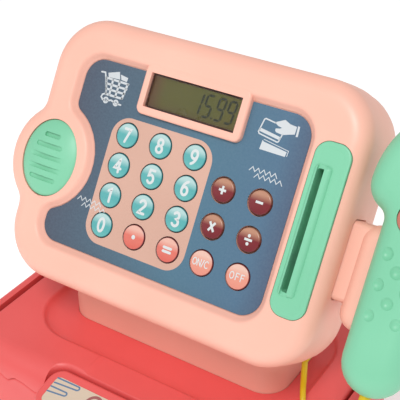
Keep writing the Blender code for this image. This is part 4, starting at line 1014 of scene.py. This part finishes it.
def add_handset(mint):
    count = 14 if FINE else 8
    front = in_strips(loft("front", handset_rings(1, count, lift=0.1)))
    back = in_strips(loft("back", handset_rings(-1, count, lift=0.15)))
    hollow = loft("hollow", [[(x, y, HAND_PARTING + z) for x, y in outline(handset_arcs(), inset)]
                             for inset, z in ((7, -9.4), (3.5, -6), (2.6, 0), (3.5, 6), (7, 9.4))])
    window = cuboid("window", (HAND_X - 11, 61, -9), (HAND_X + 11, 80, 3))
    relief = turned("relief", [(0, -13), (2.9, -13), (2.9, 0), (0, 0)], 32)
    place = Matrix.Translation(Vector((HAND_X, RELIEF_TOP + 3, HAND_PARTING)) * MM)
    hole = turned("button", [(0, -6), (7.75, -6), (7.75, 14), (0, 14)], 48, place=(HAND_X, 20.5))
    balls = bmesh.new()
    for x, y in DIMPLES:
        bmesh.ops.create_uvsphere(balls, u_segments=24, v_segments=16, radius=3.9,
                                  matrix=Matrix.Translation((HAND_X + x, y, dimple_centre(x))))
    balls = new_mesh(balls, "balls")
    reliefs = (relief, place @ Matrix.Rotation(pi / 2, 4, "X"))
    front = carve(carve(front, [hollow]), [balls, hole, window, reliefs], bevel=0.35, angle=28)
    put("scanner_front", front, mint, "handset", ("handset_front_shell",), HEAD, sharp=50)
    back = carve(back, [hollow, window, reliefs], bevel=0.3)
    put("scanner_back", back, mint, "handset", ("handset_back_shell",), HEAD, sharp=50)


def surface_height(x):
    """Height of the grip's front over its centreline, at x across it."""
    rise = abs(x) - (GRIP_X - 12)
    if rise <= 0:
        return HAND_PARTING + HAND_HALF_T
    return HAND_PARTING + HAND_HALF_T * (1 - (rise / 12) ** 2) ** 0.5


def dimple_centre(x):
    return surface_height(x) + 3.9 - 1.0


def add_button():
    radius = 7.5
    profile = [(0, -5.2), (radius, -5.2), (radius, -0.6)]
    profile += [(radius - 0.9 * (1 - cos(t)), -0.6 + 0.9 * sin(t))
                for t in [radians(d) for d in (25, 45, 65, 90)]]
    profile += [(radius * 0.6, 0.75), (radius * 0.3, 1.2), (0, 1.35)]
    place = HEAD @ Matrix.Translation(Vector((HAND_X, 20.5, 10.6)) * MM)
    finish = plastic("button_salmon", (214, 132, 112), 0.38)
    put("scan_key", turned("button", profile, 64), finish, "scan_button", ("scan_button",),
        place, sharp=55)


def add_cradle(peach):
    x, bottom, top, back, front = 28, -41.5, 12.5, -24, -7
    arcs = box_arcs(HAND_X - x, HAND_X + x, bottom, top, 9)
    steps = [(5, back), (2.4, back + 0.6), (0.9, back + 2), (0, back + 5)]
    steps += quarter(7.5, 10, front)
    arm = stack("arm", box_arcs(90, HAND_X - 20, -30, 11, 4),
                ((1.5, -23), (0, -21.5), (0, -13), (0.8, -11), (2.5, -10)))
    rings = list(reversed(handset_rings(-1, 10, 1.1, 0.15)))
    rings.append([(px, py, 20) for px, py, _ in rings[-1]])
    mesh = carve(stack("cradle", arcs, steps), [loft("space", rings)], [arm], bevel=1.2, segments=4,
                 angle=45)
    put("cradle", mesh, peach, "register", ("handset_cradle",), HEAD, sharp=55)


def tube(name, points, radius, sides=16):
    """A round tube along the points, with closed ends."""
    bm = bmesh.new()
    points = [Vector(p) for p in points]
    loops, side = [], None
    for i, point in enumerate(points):
        along = (points[min(i + 1, len(points) - 1)] - points[max(i - 1, 0)]).normalized()
        side = (side - along * side.dot(along)).normalized() if side else along.orthogonal().normalized()
        across = along.cross(side)
        loops.append([bm.verts.new(point + radius * (cos(t) * side + sin(t) * across))
                      for t in [2 * pi * k / sides for k in range(sides)]])
    for a, b in zip(loops, loops[1:]):
        for k in range(sides):
            bm.faces.new((a[k], a[(k + 1) % sides], b[(k + 1) % sides], b[k]))
    bm.faces.new(loops[0])
    bm.faces.new(loops[-1])
    return new_mesh(bm, name)


def add_cord():
    yellow = plastic("cord_yellow", (242, 206, 0), 0.45, bump=0.08)
    route = [GLAND + Vector((0, 0, -2.8)), *(Vector(p) for p in CORD_MIDDLE),
             RELIEF_END + DOWN_GRIP * 9, RELIEF_END]
    line = catmull(route, 6)
    cord = bpy.data.objects.new("cord", tube("cord", line, CORD_R))
    bpy.context.scene.collection.objects.link(cord)
    cord.data.materials.append(yellow)
    cord.data.shade_smooth()
    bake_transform(cord)
    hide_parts("handset_cord")
    gland = [(0, 1), (2.9, 1), (2.9, -1), (2.75, -1.3), (2.4, -2.3), (2.1, -2.5), (0, -2.5)]
    place = Matrix.Translation(GLAND * MM)
    put("cord_gland", turned("gland", list(reversed(gland)), 32), yellow, "register",
        ("head_strain_relief",), place, sharp=50)
    profile = [(0, 0), (2.7, 0), (2.7, -8)]
    for i in range(5):
        z, r = -9 - 2.1 * i, 2.65 - 0.09 * i
        profile += [(r, z), (r, z - 1.1), (r - 0.45, z - 1.25), (r - 0.45, z - 1.95)]
    profile += [(2.1, -19.4), (1.9, -20), (0, -20)]
    place = HEAD @ Matrix.Translation(Vector((HAND_X, RELIEF_TOP,
                                              HAND_PARTING)) * MM) @ Matrix.Rotation(-pi / 2, 4, "X")
    put("scanner_relief", turned("relief", list(reversed(profile)), 32), yellow, "handset",
        ("handset_strain_relief",), place, sharp=40)


# ---------------------------------------------------------------- stage and light

def add_stage():
    bm = bmesh.new()
    bmesh.ops.create_grid(bm, x_segments=1, y_segments=1, size=6)
    mesh = bpy.data.meshes.new("floor")
    bm.to_mesh(mesh)
    bm.free()
    floor = bpy.data.objects.new("floor", mesh)
    bpy.context.scene.collection.objects.link(floor)
    material = bpy.data.materials.new("floor")
    material.use_nodes = True
    shader = material.node_tree.nodes["Principled BSDF"]
    shader.inputs["Base Color"].default_value = (0.93, 0.93, 0.93, 1)
    shader.inputs["Roughness"].default_value = 0.9
    shader.inputs["Emission Color"].default_value = (1, 1, 1, 1)
    shader.inputs["Emission Strength"].default_value = 0.3
    mesh.materials.append(material)
    world = bpy.data.worlds.new("world")
    bpy.context.scene.world = world
    world.use_nodes = True
    world.node_tree.nodes["Background"].inputs["Color"].default_value = (1, 1, 1, 1)
    world.node_tree.nodes["Background"].inputs["Strength"].default_value = 0.56


def add_light(name, place, target, size, energy, colour=(1, 1, 1)):
    light = bpy.data.lights.new(name, "AREA")
    light.shape = "DISK"
    light.size = size
    light.energy = energy
    light.color = colour
    obj = bpy.data.objects.new(name, light)
    bpy.context.scene.collection.objects.link(obj)
    obj.location = place
    obj.rotation_euler = (Vector(target) - Vector(place)).to_track_quat("-Z", "Y").to_euler()


def carried_over():
    """Materials for CAD pieces that stay as they are."""
    finishes = {
        "steel": Nodes("screw_steel").finish((170, 170, 175), 0.35, bump=0.05, Metallic=1.0),
        "dark_rubber": plastic("rubber", (38, 38, 42), 0.8),
        "circuit_green": plastic("board", (20, 92, 52), 0.5),
        "battery_wrap": plastic("cell", (60, 62, 70), 0.4),
        "coral_plastic": CORAL,
        "red_lens": Nodes("lens").finish((110, 16, 20), 0.12, spread=0.03, bump=0.0, Coat_Weight=0.5),
    }
    slots = {entry["node"]: entry["material_slot"] for entry in frame["record"]["subparts"]}
    for name, obj in frame["nodes"].items():
        if not obj.hide_render and slots.get(name) in finishes:
            obj.data.materials.clear()
            obj.data.materials.append(finishes[slots[name]])
            obj.data.shade_smooth()
            obj.data.set_sharp_from_angle(angle=radians(35))


bpy.context.scene.view_settings.view_transform = "Standard"
add_camera()
PEACH = plastic("peach_shell", (282, 214, 192), 0.45, bump=0.1)
CORAL = plastic("coral_shell", (262, 108, 106), 0.42, bump=0.1)
MINT = plastic("mint_shell", (146, 230, 188), 0.42, bump=0.1)
add_cord()
add_head(PEACH)
add_film()
add_print()
add_display()
add_grille(MINT)
add_card_slot(MINT)
add_keys()
add_neck(PEACH)
add_base(CORAL)
add_drawer(CORAL)
add_label_print()
add_handset(MINT)
add_button()
add_cradle(PEACH)
carried_over()
add_stage()
add_light("key", (0.35, -0.95, 1.5), (0, 0, 0.12), 0.55, 16)
add_light("fill", (-0.9, -0.9, 0.9), (0, 0, 0.12), 1.0, 1.5)
